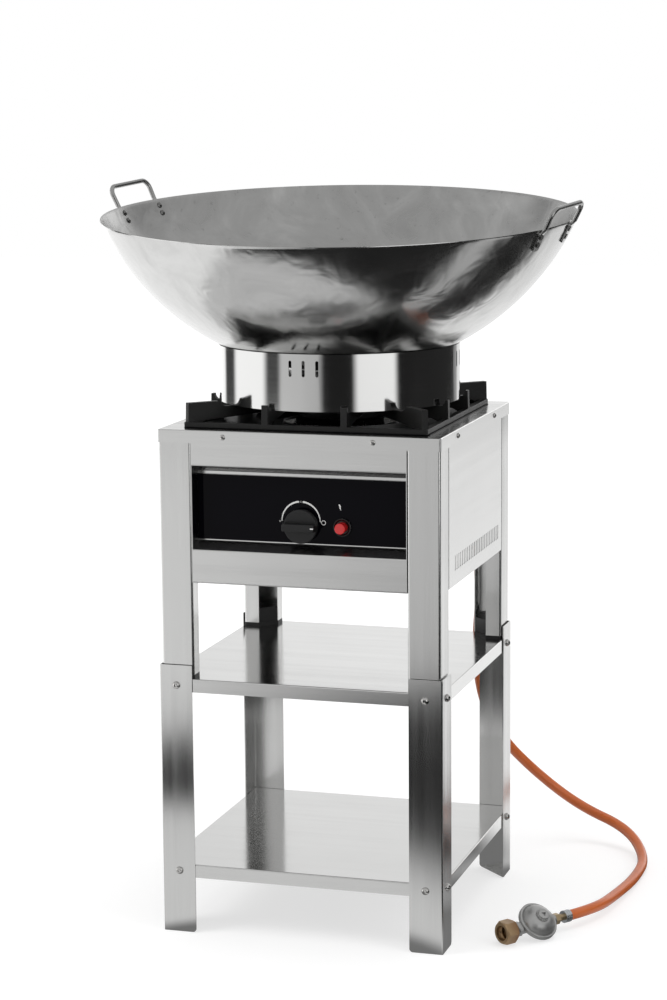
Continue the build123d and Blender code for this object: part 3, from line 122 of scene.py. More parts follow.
def brushedStainless(name, grain, tone="#D8D8D7", rough=0.21, stretch=0.55):
    made, tree = newMaterial(name)
    place = node(tree, "ShaderNodeTexCoord")
    s = grindSizes
    scale = [1000 / s["along"] if axis == grain else 1000 / s["across"] for axis in "xyz"]
    lines = node(tree, "ShaderNodeMapping", None, Vector=(place, "Object"), Scale=scale)
    streaks = node(tree, "ShaderNodeTexNoise", None, Vector=(lines, 0), Scale=1.0, Detail=2.0, Roughness=0.6)
    broadScale = [v / s["broader"] for v in scale]
    wide = node(tree, "ShaderNodeMapping", None, Vector=(place, "Object"), Scale=broadScale)
    bands = node(tree, "ShaderNodeTexNoise", None, Vector=(wide, 0), Scale=1.0, Detail=3.0, Roughness=0.5)
    smears = node(tree, "ShaderNodeTexNoise", None, Vector=(place, "Object"), Scale=11.0, Detail=5.0)
    shade = node(tree, "ShaderNodeMapRange", None, Value=(streaks, 0), From_Min=0.3, From_Max=0.7)
    colour = node(tree, "ShaderNodeMix", {"data_type": "RGBA"}, Factor=(shade, 0), i7=linear(tone),
                  i6=[c * s["dim"] for c in linear(tone)[:3]] + [1])
    worn = node(tree, "ShaderNodeMath", {"operation": "MULTIPLY_ADD"}, i0=(smears, 0), i1=0.5, i2=(bands, 0))
    roughness = node(tree, "ShaderNodeMapRange", None, Value=(worn, 0), From_Min=0.5, From_Max=1.0,
                     To_Min=rough - s["wander"], To_Max=rough + s["wander"])
    bump = node(tree, "ShaderNodeBump", None, Height=(streaks, 0), Strength=0.12, Distance=0.00005)
    facing = node(tree, "ShaderNodeNewGeometry")
    line = node(tree, "ShaderNodeCombineXYZ", None, **{axis.upper(): float(axis == grain) for axis in "xyz"})
    cross = node(tree, "ShaderNodeVectorMath", {"operation": "CROSS_PRODUCT"}, i0=(line, 0),
                 i1=(facing, "Normal"))
    drawn = node(tree, "ShaderNodeVectorMath", {"operation": "ADD"}, i0=(cross, 0), i1=(0.003, 0.002, 0.004))
    body = node(tree, "ShaderNodeBsdfPrincipled", None, Base_Color=(colour, 2), Metallic=1.0,
                Roughness=(roughness, 0), Normal=(bump, 0), Anisotropic=stretch, Tangent=(drawn, 0))
    node(tree, "ShaderNodeOutputMaterial", None, Surface=(body, 0))
    return made


# Bright rolled stainless strip, as cold rolled and annealed: nearly a mirror, with faint lines round the
# ring from the rolls and a slight waviness that softens the edges of what it reflects.
def rolledStainless(name):
    made, tree = newMaterial(name)
    place = node(tree, "ShaderNodeTexCoord")
    lines = node(tree, "ShaderNodeMapping", None, Vector=(place, "Object"), Scale=(12, 12, 900))
    streaks = node(tree, "ShaderNodeTexNoise", None, Vector=(lines, 0), Scale=1.0, Detail=2.0)
    waves = node(tree, "ShaderNodeTexNoise", None, Vector=(place, "Object"), Scale=14.0, Detail=1.0)
    roughness = node(tree, "ShaderNodeMapRange", None, Value=(streaks, 0), From_Min=0.3, From_Max=0.7,
                     To_Min=0.07, To_Max=0.11)
    first = node(tree, "ShaderNodeBump", None, Height=(waves, 0), Strength=0.25, Distance=0.0006)
    second = node(tree, "ShaderNodeBump", None, Height=(streaks, 0), Strength=0.05, Distance=0.00005,
                  Normal=(first, 0))
    body = node(tree, "ShaderNodeBsdfPrincipled", None, Base_Color=linear("#C9C9C8"), Metallic=1.0,
                Roughness=(roughness, 0), Normal=(second, 0))
    node(tree, "ShaderNodeOutputMaterial", None, Surface=(body, 0))
    return made


# Spun carbon steel, oiled and bare. Outside it is planished: the lathe's rings are 1.2 mm apart round the
# bowl's axis, and the hammer leaves shallow dents 30 to 40 mm across that make reflections swim. Inside it
# is scoured matt, with cloudy patches and small dark specks.
spunSizes = {
    "ringsPerRadian": 304.0,
    "inside": {
        "clouds": [(0.30, linear("#A2A2A1")), (0.52, linear("#AEAEAD")), (0.72, linear("#BDBDBC"))],
        "specks": [(0.22, grey(0.45)), (0.36, grey(1.0))],
        "rough": (0.25, 0.34),
    },
    "outside": {
        "clouds": [(0.30, linear("#B6B6B5")), (0.55, linear("#C6C6C5")), (0.75, linear("#CECECD"))],
        "specks": [(0.20, grey(0.7)), (0.33, grey(1.0))],
        "rough": (0.15, 0.22),
    },
}


def spunSteel(name, centre, axis, side):
    made, tree = newMaterial(name)
    place = node(tree, "ShaderNodeTexCoord")
    turn = Vector((0, 0, 1)).rotation_difference(Vector(axis)).inverted().to_euler()
    moved = node(tree, "ShaderNodeVectorMath", {"operation": "SUBTRACT"}, i0=(place, "Object"), i1=centre)
    turned = node(tree, "ShaderNodeMapping", None, Vector=(moved, 0), Rotation=turn)
    split = node(tree, "ShaderNodeSeparateXYZ", None, Vector=(turned, 0))
    flat = node(tree, "ShaderNodeCombineXYZ", None, X=(split, 0), Y=(split, 1))
    radius = node(tree, "ShaderNodeVectorMath", {"operation": "LENGTH"}, i0=(flat, 0))
    below = node(tree, "ShaderNodeMath", {"operation": "MULTIPLY"}, i0=(split, 2), i1=-1.0)
    angle = node(tree, "ShaderNodeMath", {"operation": "ARCTAN2"}, i0=(radius, 1), i1=(below, 0))
    count = node(tree, "ShaderNodeMath", {"operation": "MULTIPLY"}, i0=(angle, 0),
                 i1=spunSizes["ringsPerRadian"])
    rings = node(tree, "ShaderNodeTexNoise", {"noise_dimensions": "1D"}, W=(count, 0), Scale=1.0, Detail=2.0)
    dents = node(tree, "ShaderNodeTexNoise", None, Vector=(turned, 0), Scale=24.0, Detail=1.0,
                 Distortion=1.2)
    blotch = node(tree, "ShaderNodeTexNoise", None, Vector=(turned, 0), Scale=13.0, Detail=6.0,
                  Roughness=0.62, Distortion=0.8)
    specks = node(tree, "ShaderNodeTexNoise", None, Vector=(turned, 0), Scale=95.0, Detail=3.0,
                  Roughness=0.65)
    s = spunSizes[side]
    low, high = s["rough"]
    tones = node(tree, "ShaderNodeValToRGB", {"stops": s["clouds"]}, Fac=(blotch, 0))
    dark = node(tree, "ShaderNodeValToRGB", {"stops": s["specks"]}, Fac=(specks, 0))
    colour = node(tree, "ShaderNodeMix", {"data_type": "RGBA", "blend_type": "MULTIPLY"}, Factor=0.6,
                  i6=(tones, 0), i7=(dark, 0))
    rough = node(tree, "ShaderNodeMapRange", None, Value=(blotch, 0), From_Min=0.3, From_Max=0.7,
                 To_Min=low, To_Max=high)
    first = node(tree, "ShaderNodeBump", None, Height=(dents, 0), Strength=0.30, Distance=0.0022)
    second = node(tree, "ShaderNodeBump", None, Height=(rings, 0), Strength=0.08, Distance=0.0002,
                  Normal=(first, 0))
    body = node(tree, "ShaderNodeBsdfPrincipled", None, Base_Color=(colour, 2), Metallic=1.0,
                Roughness=(rough, 0), Normal=(second, 0))
    node(tree, "ShaderNodeOutputMaterial", None, Surface=(body, 0))
    return made


# Painted, moulded, plated and cast parts: a tone, a second tone that clouds it, a grain of real size and its
# depth in metres. A bevel in metres softens cast edges, which catch the light along a line.
def grainedSurface(name, tone, spread, mix=0.6, rough=0.5, grain=0.8, depth=0.0001, strength=0.2,
                   metallic=0.0, coat=0.0, wander=0.06, bevel=0.0, ior=1.5):
    made, tree = newMaterial(name)
    place = node(tree, "ShaderNodeTexCoord")
    fine = node(tree, "ShaderNodeTexNoise", None, Vector=(place, "Object"), Scale=500 / grain, Detail=3.0)
    broad = node(tree, "ShaderNodeTexNoise", None, Vector=(place, "Object"), Scale=28.0, Detail=4.0)
    weight = node(tree, "ShaderNodeMapRange", None, Value=(broad, 0), From_Min=0.35, From_Max=0.7,
                  To_Max=mix)
    shade = node(tree, "ShaderNodeMix", {"data_type": "RGBA"}, Factor=(weight, 0), i6=linear(tone),
                 i7=linear(spread))
    roughness = node(tree, "ShaderNodeMapRange", None, Value=(broad, 0), To_Min=max(0.02, rough - wander),
                     To_Max=min(1.0, rough + wander))
    bump = node(tree, "ShaderNodeBump", None, Height=(fine, 0), Strength=strength, Distance=depth)
    if bevel:
        edge = node(tree, "ShaderNodeBevel", {"samples": 6}, Radius=bevel)
        tree.links.new(edge.outputs[0], bump.inputs["Normal"])
    body = node(tree, "ShaderNodeBsdfPrincipled", None, Base_Color=(shade, 2), Metallic=metallic,
                Roughness=(roughness, 0), Normal=(bump, 0), Coat_Weight=coat, Coat_Roughness=0.06, IOR=ior)
    node(tree, "ShaderNodeOutputMaterial", None, Surface=(body, 0))
    return made


wokSizes = {
    "centre": (3.0, -8.0, 1139.94),
    "axis": (0.0140136, -0.0727715, 0.9972502),
    "radius": 364.7,
    "sheet": 1.5,
    "rimAngle": 66.37,
}
wokCentre = Vector(wokSizes["centre"]) * mm
wokAxis = Vector(wokSizes["axis"])

finishes = {
    # sheet ground before folding, so the lines follow each piece's length
    "uprightSheet": brushedStainless("brushedStainlessUpright", "z", rough=0.18, stretch=0.9),
    "frontSheet": brushedStainless("brushedStainlessAcross", "x"),
    "sideSheet": brushedStainless("brushedStainlessDeep", "y"),
    "shelfSheet": brushedStainless("brushedStainlessShelf", "x", rough=0.15),
    "band": rolledStainless("rolledStainlessBand"),
    "bowlOutside": spunSteel("spunCarbonSteelPlanished", wokCentre, wokAxis, "outside"),
    "bowlInside": spunSteel("spunCarbonSteelScoured", wokCentre, wokAxis, "inside"),
    # sand cast grey iron under a thin matt black enamel: grain of about 0.9 mm, rounded edges, a soft sheen
    "castIron": grainedSurface("sandCastIronBlack", "#141414", "#1F1F1E", mix=0.8, rough=0.42, grain=0.9,
                               depth=0.0003, strength=0.5, bevel=0.0013, ior=1.4),
    # vitreous enamel on pressed steel: black and glassy, with a faint orange peel of 6 mm
    "enamel": grainedSurface("vitreousEnamelBlack", "#080809", "#0C0C0D", mix=0.6, rough=0.3, grain=6.0,
                             depth=0.0001, strength=0.1, ior=1.08),
    # soot-dulled cap and head of the burner
    "sootedIron": grainedSurface("sootedIronBlack", "#080808", "#101010", mix=0.8, rough=0.75, grain=1.2,
                                 depth=0.0002, strength=0.3, ior=1.1),
    # float glass printed black behind: a hard even gloss, with little shown in it
    "glass": grainedSurface("backPaintedGlass", "#050409", "#06060A", mix=0.4, rough=0.05, grain=40.0,
                            depth=0.00002, strength=0.05, wander=0.01, ior=1.17),
    # moulded glass-filled nylon with a fine spark-eroded grain
    "nylon": grainedSurface("mouldedNylonBlack", "#101011", "#171718", mix=0.6, rough=0.42, grain=0.5,
                            depth=0.0001, strength=0.25, bevel=0.0004),
    "bezel": grainedSurface("polishedAbsBlack", "#0C0C0D", "#121213", mix=0.6, rough=0.16, grain=3.0,
                            depth=0.00005, strength=0.1),
    # signal red acrylic cap, polished
    "button": grainedSurface("mouldedAcrylicRed", "#B0161A", "#D42424", mix=0.7, rough=0.16, grain=5.0,
                             depth=0.00005, strength=0.1, coat=0.6),
    # hot forged brass, tumbled and tarnished brown with coppery patches
    "forgedBrass": grainedSurface("forgedBrassTarnished", "#BDA27E", "#8E6446", mix=0.9, rough=0.36,
                                  grain=1.2, depth=0.0002, strength=0.5, metallic=0.9),
    "turnedBrass": grainedSurface("turnedBrassDull", "#C2AE8C", "#A08C6C", mix=0.7, rough=0.32, grain=0.8,
                                  depth=0.0001, strength=0.25, metallic=0.9),
    # pressure die cast zinc, barrel tumbled: light grey with a fine orange-peel skin
    "zincCasting": grainedSurface("dieCastZincTumbled", "#BCBCBB", "#A4A4A3", mix=0.9, rough=0.38,
                                  grain=1.4, depth=0.0002, strength=0.4, metallic=0.85, bevel=0.0005),
    # bright zinc plating over steel, slightly blue
    "zincPlate": grainedSurface("zincPlatedSteel", "#CFD2D4", "#BFC4C8", mix=0.6, rough=0.2, grain=1.0,
                                depth=0.0001, strength=0.2, metallic=1.0),
    # polished stainless fasteners
    "polishedSteel": grainedSurface("polishedStainlessScrew", "#C9C8C6", "#B4B3B1", mix=0.6, rough=0.09,
                                    grain=0.8, depth=0.0001, strength=0.15, metallic=1.0),
    # drawn steel rod, satin and darkened from handling
    "rod": grainedSurface("drawnSteelRod", "#B2B2B1", "#8A8A89", mix=0.8, rough=0.24, grain=1.0,
                          depth=0.0001, strength=0.3, metallic=1.0),
    # dull steel rivets with a rolled dome
    "rivet": grainedSurface("rolledSteelRivet", "#7C7C7B", "#5E5E5D", mix=0.6, rough=0.14, grain=0.8,
                            depth=0.0001, strength=0.15, metallic=1.0),
    # extruded rubber hose, smooth and slightly waxy, paler where it catches the light
    "rubber": grainedSurface("extrudedRubberOrange", "#C8652C", "#BA581F", mix=0.8, rough=0.38, grain=1.1,
                             depth=0.0001, strength=0.2, coat=0.25),
    "silicone": grainedSurface("siliconeSleeveRed", "#A33A26", "#8E2F1E", mix=0.6, rough=0.4, grain=0.8,
                               depth=0.0001, strength=0.2),
    "copper": grainedSurface("drawnCopper", "#B87352", "#9A5A3E", mix=0.7, rough=0.28, grain=0.8,
                             depth=0.0001, strength=0.2, metallic=1.0),
    "aluminium": grainedSurface("drawnAluminium", "#C5C6C8", "#B2B4B6", mix=0.6, rough=0.26, grain=0.8,
                                depth=0.0001, strength=0.2, metallic=1.0),
    "ceramic": grainedSurface("firedSteatite", "#E6E2D8", "#DAD4C6", mix=0.6, rough=0.4, grain=0.6,
                              depth=0.0001, strength=0.2),
    # fired white enamel ink
    "ink": grainedSurface("firedWhiteInk", "#E8E8E6", "#DEDEDC", mix=0.5, rough=0.45, grain=0.4,
                          depth=0.00005, strength=0.1),
    "inkGrey": grainedSurface("firedGreyInk", "#8A8A88", "#808080", mix=0.5, rough=0.45, grain=0.4,
                              depth=0.00005, strength=0.1),
}
print("finishes made,", len(finishes))

finishOf = {
    "uprightSheet": ["cooker_leg_", "stand_leg_"],
    "frontSheet": ["front_fascia", "top_plate", "back_panel"],
    "sideSheet": ["left_side_panel", "right_side_panel"],
    "shelfSheet": ["upper_shelf", "lower_shelf"],
    "band": ["wok_ring"],
    "bowlInside": ["wok_pan"],
    "castIron": ["pan_support"],
    "sootedIron": ["burner_body", "burner_head", "burner_cap"],
    "enamel": ["drip_tray"],
    "glass": ["control_glass"],
    "nylon": ["knob", "leg_feet", "igniter_barrel"],
    "bezel": ["igniter_bezel"],
    "button": ["igniter_button"],
    "forgedBrass": ["regulator_nut"],
    "turnedBrass": ["valve_stem", "gas_valve", "gas_jet", "inlet_elbow", "inlet_nut", "hose_union",
                    "regulator_nipple", "regulator_tail"],
    "zincCasting": ["regulator_body", "regulator_cover", "regulator_plug"],
    "zincPlate": ["burner_bridge", "air_shutter", "upper_ferrule", "lower_ferrule", "shelf_nuts",
                  "igniter_nut", "valve_spring_cup"],
    "polishedSteel": ["shelf_bolts", "rim_screws", "spark_pin", "thermocouple"],
    "rivet": ["wok_rivets"],
    "rod": ["wok_handle_"],
    "rubber": ["gas_hose"],
    "silicone": ["spark_lead"],
    "copper": ["thermocouple_tube"],
    "aluminium": ["gas_rail"],
    "ceramic": ["spark_electrode"],
}


def dress(piece, finishName):
    piece.data.materials.clear()
    piece.data.materials.append(finishes[finishName])


for finishName, starts in finishOf.items():
    for start in starts:
        for name, piece in nodes.items():
            if name == start or (start.endswith("_") and name.startswith(start)):
                dress(piece, finishName)
print("CAD nodes dressed")


def addPiece(name, data, finishName, body):
    piece = bpy.data.objects.new(name, data)
    bpy.context.scene.collection.objects.link(piece)
    if finishName:
        dress(piece, finishName)
    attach(piece, body)
    return piece


def newTree(name, sockets):
    # a Geometry Nodes tree whose inputs are named sizes
    tree = bpy.data.node_groups.new(name, "GeometryNodeTree")
    tree.interface.new_socket("Geometry", in_out="INPUT", socket_type="NodeSocketGeometry")
    for label, kind in sockets.items():
        tree.interface.new_socket(label, in_out="INPUT", socket_type="NodeSocket" + kind)
    tree.interface.new_socket("Geometry", in_out="OUTPUT", socket_type="NodeSocketGeometry")
    return tree


def grow(name, tree, sizes, start, sharp=32):
    # runs a tree on its starting mesh and keeps the outcome as a plain mesh
    holder = bpy.data.objects.new(name + "Start", start)
    bpy.context.scene.collection.objects.link(holder)
    modifier = holder.modifiers.new("grow", "NODES")
    modifier.node_group = tree
    for item in tree.interface.items_tree:
        if item.in_out == "INPUT" and item.name in sizes:
            modifier[item.identifier] = sizes[item.name]
    graph = bpy.context.evaluated_depsgraph_get()
    grown = bpy.data.meshes.new_from_object(holder.evaluated_get(graph), depsgraph=graph)
    holder.modifiers.remove(modifier)
    bpy.data.objects.remove(holder)
    tidy = bmesh.new()
    tidy.from_mesh(grown)
    bmesh.ops.remove_doubles(tidy, verts=tidy.verts, dist=1e-6)
    if tidy.calc_volume(signed=True) < 0:
        bmesh.ops.reverse_faces(tidy, faces=tidy.faces)
    tidy.to_mesh(grown)
    tidy.free()
    grown.name = name
    grown.shade_smooth()
    grown.set_sharp_from_angle(angle=math.radians(sharp))
    print(name, "grown,", len(grown.polygons), "faces")
    return grown


# The bowl follows a rule: one arc of a sphere, turned about the tilted axis, with a rounded sheared edge.
def bowlTree():
    tree = newTree("wokBowl", {"Radius": "Float", "Sheet": "Float", "Rim Angle": "Float", "Place": "Vector",
                               "Tilt": "Vector"})
    given = node(tree, "NodeGroupInput")
    # the grid's middle rows turn over the rim's edge; half of the others are the outside, half the inside
    rounds, rows, noseRows, noseOut = 241, 121, 1.5, 0.45
    half = noseRows / (rows - 1)
    grid = node(tree, "GeometryNodeMeshGrid", None, Size_X=1.0, Size_Y=1.0, Vertices_X=rounds,
                Vertices_Y=rows)
    where = node(tree, "GeometryNodeInputPosition")
    split = node(tree, "ShaderNodeSeparateXYZ", None, Vector=(where, 0))
    turn = node(tree, "ShaderNodeMath", {"operation": "MULTIPLY"}, i0=(split, 0), i1=math.tau)
    twice = node(tree, "ShaderNodeMath", {"operation": "MULTIPLY"}, i0=(split, 1), i1=2.0)
    fromRim = node(tree, "ShaderNodeMath", {"operation": "ABSOLUTE"}, i0=(twice, 0))
    share = node(tree, "ShaderNodeMapRange", None, Value=(fromRim, 0), From_Min=2 * half, From_Max=1.0,
                 To_Min=1.0, To_Max=0.0)
    arc = node(tree, "ShaderNodeMath", {"operation": "MULTIPLY"}, i0=(share, 0), i1=(given, "Rim Angle"))
    nose = node(tree, "ShaderNodeMapRange", None, Value=(fromRim, 0), From_Min=0.0, From_Max=half,
                To_Min=noseOut, To_Max=0.0)
    noseRun = node(tree, "ShaderNodeMath", {"operation": "MULTIPLY"}, i0=(nose, 0), i1=(given, "Sheet"))
    noseTurn = node(tree, "ShaderNodeMath", {"operation": "DIVIDE"}, i0=(noseRun, 0), i1=(given, "Radius"))
    polar = node(tree, "ShaderNodeMath", {"operation": "ADD"}, i0=(arc, 0), i1=(noseTurn, 0))
    depth = node(tree, "ShaderNodeMapRange", None, Value=(split, 1), From_Min=-half, From_Max=half,
                 To_Min=0.0, To_Max=1.0)
    inwards = node(tree, "ShaderNodeMath", {"operation": "MULTIPLY"}, i0=(depth, 0), i1=(given, "Sheet"))
    radius = node(tree, "ShaderNodeMath", {"operation": "SUBTRACT"}, i0=(given, "Radius"), i1=(inwards, 0))
    sine = node(tree, "ShaderNodeMath", {"operation": "SINE"}, i0=(polar, 0))
    cosine = node(tree, "ShaderNodeMath", {"operation": "COSINE"}, i0=(polar, 0))
    out = node(tree, "ShaderNodeMath", {"operation": "MULTIPLY"}, i0=(sine, 0), i1=(radius, 0))
    down = node(tree, "ShaderNodeMath", {"operation": "MULTIPLY"}, i0=(cosine, 0), i1=(radius, 0))
    low = node(tree, "ShaderNodeMath", {"operation": "MULTIPLY"}, i0=(down, 0), i1=-1.0)
    turnCos = node(tree, "ShaderNodeMath", {"operation": "COSINE"}, i0=(turn, 0))
    turnSin = node(tree, "ShaderNodeMath", {"operation": "SINE"}, i0=(turn, 0))
    x = node(tree, "ShaderNodeMath", {"operation": "MULTIPLY"}, i0=(out, 0), i1=(turnCos, 0))
    y = node(tree, "ShaderNodeMath", {"operation": "MULTIPLY"}, i0=(out, 0), i1=(turnSin, 0))
    spot = node(tree, "ShaderNodeCombineXYZ", None, X=(x, 0), Y=(y, 0), Z=(low, 0))
    isInside = node(tree, "FunctionNodeCompare", {"data_type": "FLOAT", "operation": "GREATER_THAN"},
                    i0=(split, 1), i1=0.0)
    scoured = node(tree, "GeometryNodeSetMaterial", None, Geometry=(grid, 0), Selection=(isInside, 0),
                   Material=finishes["bowlInside"])
    bowl = node(tree, "GeometryNodeSetPosition", None, Geometry=(scoured, 0), Position=(spot, 0))
    closed = node(tree, "GeometryNodeMergeByDistance", None, Geometry=(bowl, 0), Distance=0.00002)
    placed = node(tree, "GeometryNodeTransform", None, Geometry=(closed, 0), Translation=(given, "Place"),
                  Rotation=(given, "Tilt"))
    real = node(tree, "GeometryNodeRealizeInstances", None, Geometry=(placed, 0))
    isPlain = node(tree, "GeometryNodeMaterialSelection", None, Material=finishes["bowlInside"])
    outside = node(tree, "FunctionNodeBooleanMath", {"operation": "NOT"}, i0=(isPlain, 0))
    final = node(tree, "GeometryNodeSetMaterial", None, Geometry=(real, 0), Selection=(outside, 0),
                 Material=finishes["bowlOutside"])
    node(tree, "NodeGroupOutput", None, Geometry=(final, 0))
    return tree


def makeBowl(s):
    tilt = Vector((0, 0, 1)).rotation_difference(wokAxis).to_euler()
    sizes = {"Radius": s["radius"] * mm, "Sheet": s["sheet"] * mm, "Rim Angle": math.radians(s["rimAngle"]),
             "Place": tuple(wokCentre), "Tilt": tuple(tilt)}
    data = grow("wokBowl", bowlTree(), sizes, bpy.data.meshes.new("wokBowlStart"), sharp=60)
    bowl = addPiece("wokBowl", data, None, "wok")
    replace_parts(bowl, "wok_pan")


makeBowl(wokSizes)

# Domed screws: button heads with a hexagon socket through the legs, pan heads with a cross round the plate.
screwSizes = {
    "shelfBolts": {"face": 202.5, "across": 178.0, "heights": (88.6, 354.6), "head": (5.5, 4.4),
                   "recess": 4.0, "recessDepth": 2.2, "shank": (3.0, 9.0), "sides": 6},
    "rimScrews": {"face": 200.0, "across": 106.0, "heights": (702.8,), "head": (4.0, 2.4),
                  "recess": 4.2, "recessDepth": 1.1, "shank": (2.0, 9.0), "sides": 4},
}


def screwTree(name, sides):
    tree = newTree(name, {"Head Radius": "Float", "Head Height": "Float", "Recess": "Float",
                          "Recess Depth": "Float", "Shank Radius": "Float", "Shank Length": "Float"})
    # a hexagon's corner by its flats, a cross's slot by its length, and the shank's middle by its length
    corner, slot, middle = 0.57735, 0.24, -0.4999
    given = node(tree, "NodeGroupInput")
    ball = node(tree, "GeometryNodeMeshUVSphere", None, Segments=32, Rings=20, Radius=1.0)
    shape = node(tree, "ShaderNodeCombineXYZ", None, X=(given, "Head Radius"), Y=(given, "Head Radius"),
                 Z=(given, "Head Height"))
    dome = node(tree, "GeometryNodeTransform", None, Geometry=(ball, 0), Scale=(shape, 0))
    block = node(tree, "GeometryNodeMeshCube", None, Size=(0.04, 0.04, 0.02))
    under = node(tree, "GeometryNodeTransform", None, Geometry=(block, 0), Translation=(0, 0, -0.01))
    deep = node(tree, "ShaderNodeMath", {"operation": "MULTIPLY"}, i0=(given, "Recess Depth"), i1=2.0)
    top = node(tree, "ShaderNodeCombineXYZ", None, Z=(given, "Head Height"))
    if sides == 6:
        reach = node(tree, "ShaderNodeMath", {"operation": "MULTIPLY"}, i0=(given, "Recess"), i1=corner)
        hollow = node(tree, "GeometryNodeMeshCylinder", None, Vertices=6, Radius=(reach, 0), Depth=(deep, 0))
        shapes = [(hollow, "Mesh")]
    else:
        narrow = node(tree, "ShaderNodeMath", {"operation": "MULTIPLY"}, i0=(given, "Recess"), i1=slot)
        one = node(tree, "ShaderNodeCombineXYZ", None, X=(given, "Recess"), Y=(narrow, 0), Z=(deep, 0))
        two = node(tree, "ShaderNodeCombineXYZ", None, X=(narrow, 0), Y=(given, "Recess"), Z=(deep, 0))
        shapes = [(node(tree, "GeometryNodeMeshCube", None, Size=(size, 0)), 0) for size in (one, two)]
    cutters = [node(tree, "GeometryNodeTransform", None, Geometry=shape, Translation=(top, 0))
               for shape in shapes]
    head = node(tree, "GeometryNodeMeshBoolean", {"operation": "DIFFERENCE"}, i0=(dome, 0),
                i1=[(cutter, 0) for cutter in cutters + [under]])
    rod = node(tree, "GeometryNodeMeshCylinder", None, Vertices=20, Radius=(given, "Shank Radius"),
               Depth=(given, "Shank Length"))
    back = node(tree, "ShaderNodeMath", {"operation": "MULTIPLY"}, i0=(given, "Shank Length"), i1=middle)
    behind = node(tree, "ShaderNodeCombineXYZ", None, Z=(back, 0))
    shank = node(tree, "GeometryNodeTransform", None, Geometry=(rod, "Mesh"), Translation=(behind, 0))
    screw = node(tree, "GeometryNodeJoinGeometry", None, Geometry=[(head, 0), (shank, 0)])
    outwards = node(tree, "GeometryNodeInputNamedAttribute", {"data_type": "FLOAT_VECTOR"}, Name="outwards")
    aimed = node(tree, "FunctionNodeAlignRotationToVector", {"axis": "Z"}, Vector=(outwards, 0))
    spin = node(tree, "FunctionNodeRandomValue", {"data_type": "FLOAT"}, Seed=7)
    spin.inputs[3].default_value = math.tau
    own = node(tree, "ShaderNodeCombineXYZ", None, Z=(spin, 1))
    turned = node(tree, "FunctionNodeRotateRotation", {"rotation_space": "LOCAL"}, i0=(aimed, 0),
                  i1=(own, 0))
    placed = node(tree, "GeometryNodeInstanceOnPoints", None, Points=(given, "Geometry"),
                  Instance=(screw, 0), Rotation=(turned, 0))
    real = node(tree, "GeometryNodeRealizeInstances", None, Geometry=(placed, 0))
    final = node(tree, "GeometryNodeSetMaterial", None, Geometry=(real, 0),
                 Material=finishes["polishedSteel"])
    node(tree, "NodeGroupOutput", None, Geometry=(final, 0))
    return tree


def makeScrews(name, s, replaced):
    spots, ways = [], []
    for height in s["heights"]:
        for side in (-1, 1):
            for end in (-1, 1):
                out, along = side * s["face"], end * s["across"]
                spots += [(out, along, height), (along, out, height)]
                ways += [(side, 0, 0), (0, side, 0)]
    start = bpy.data.meshes.new(name + "Start")
    start.from_pydata([Vector(spot) * mm for spot in spots], [], [])
    outwards = start.attributes.new("outwards", "FLOAT_VECTOR", "POINT")
    outwards.data.foreach_set("vector", [v for way in ways for v in way])
    sizes = {"Head Radius": s["head"][0] * mm, "Head Height": s["head"][1] * mm, "Recess": s["recess"] * mm,
             "Recess Depth": s["recessDepth"] * mm, "Shank Radius": s["shank"][0] * mm,
             "Shank Length": s["shank"][1] * mm}
    data = grow(name, screwTree(name, s["sides"]), sizes, start)
    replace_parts(addPiece(name, data, None, "station"), replaced)


makeScrews("shelfBolts", screwSizes["shelfBolts"], "shelf_bolts")
makeScrews("rimScrews", screwSizes["rimScrews"], "rim_screws")

# Left-handed thread of 14 turns to the inch inside the union nut.
threadSizes = {"centre": (276.2, -134.9, 17.6), "axis": (0.587785, 0.809017, 0.0), "from": -9.4, "to": -0.6,
               "radius": 10.75, "ridge": 0.75, "pitch": 1.814}


def threadTree():
    tree = newTree("nutThread", {"Radius": "Float", "Ridge": "Float", "Turns": "Float", "Length": "Float",
                                 "Place": "Vector", "Turn": "Vector"})
    given = node(tree, "NodeGroupInput")
    helix = node(tree, "GeometryNodeCurveSpiral", None, Resolution=48, Rotations=(given, "Turns"),
                 Start_Radius=(given, "Radius"), End_Radius=(given, "Radius"), Height=(given, "Length"),
                 Reverse=True)
    # three corners make the ridge a sharp V
    ridge = node(tree, "GeometryNodeCurvePrimitiveCircle", None, Resolution=3, Radius=(given, "Ridge"))
    swept = node(tree, "GeometryNodeCurveToMesh", None, Curve=(helix, 0), Profile_Curve=(ridge, 0),
                 Fill_Caps=True)
    placed = node(tree, "GeometryNodeTransform", None, Geometry=(swept, 0), Translation=(given, "Place"),
                  Rotation=(given, "Turn"))
    real = node(tree, "GeometryNodeRealizeInstances", None, Geometry=(placed, 0))
    final = node(tree, "GeometryNodeSetMaterial", None, Geometry=(real, 0), Material=finishes["forgedBrass"])
    node(tree, "NodeGroupOutput", None, Geometry=(final, 0))
    return tree


def makeThread(s):
    length = s["to"] - s["from"]
    way = Vector(s["axis"])
    turn = Vector((0, 0, 1)).rotation_difference(way).to_euler()
    sizes = {"Radius": s["radius"] * mm, "Ridge": s["ridge"] * mm, "Turns": length / s["pitch"],
             "Length": length * mm, "Place": tuple((Vector(s["centre"]) + way * s["from"]) * mm),
             "Turn": tuple(turn)}
    data = grow("nutThread", threadTree(), sizes, bpy.data.meshes.new("nutThreadStart"))
    addPiece("nutThread", data, None, "cylinder_nut")


makeThread(threadSizes)

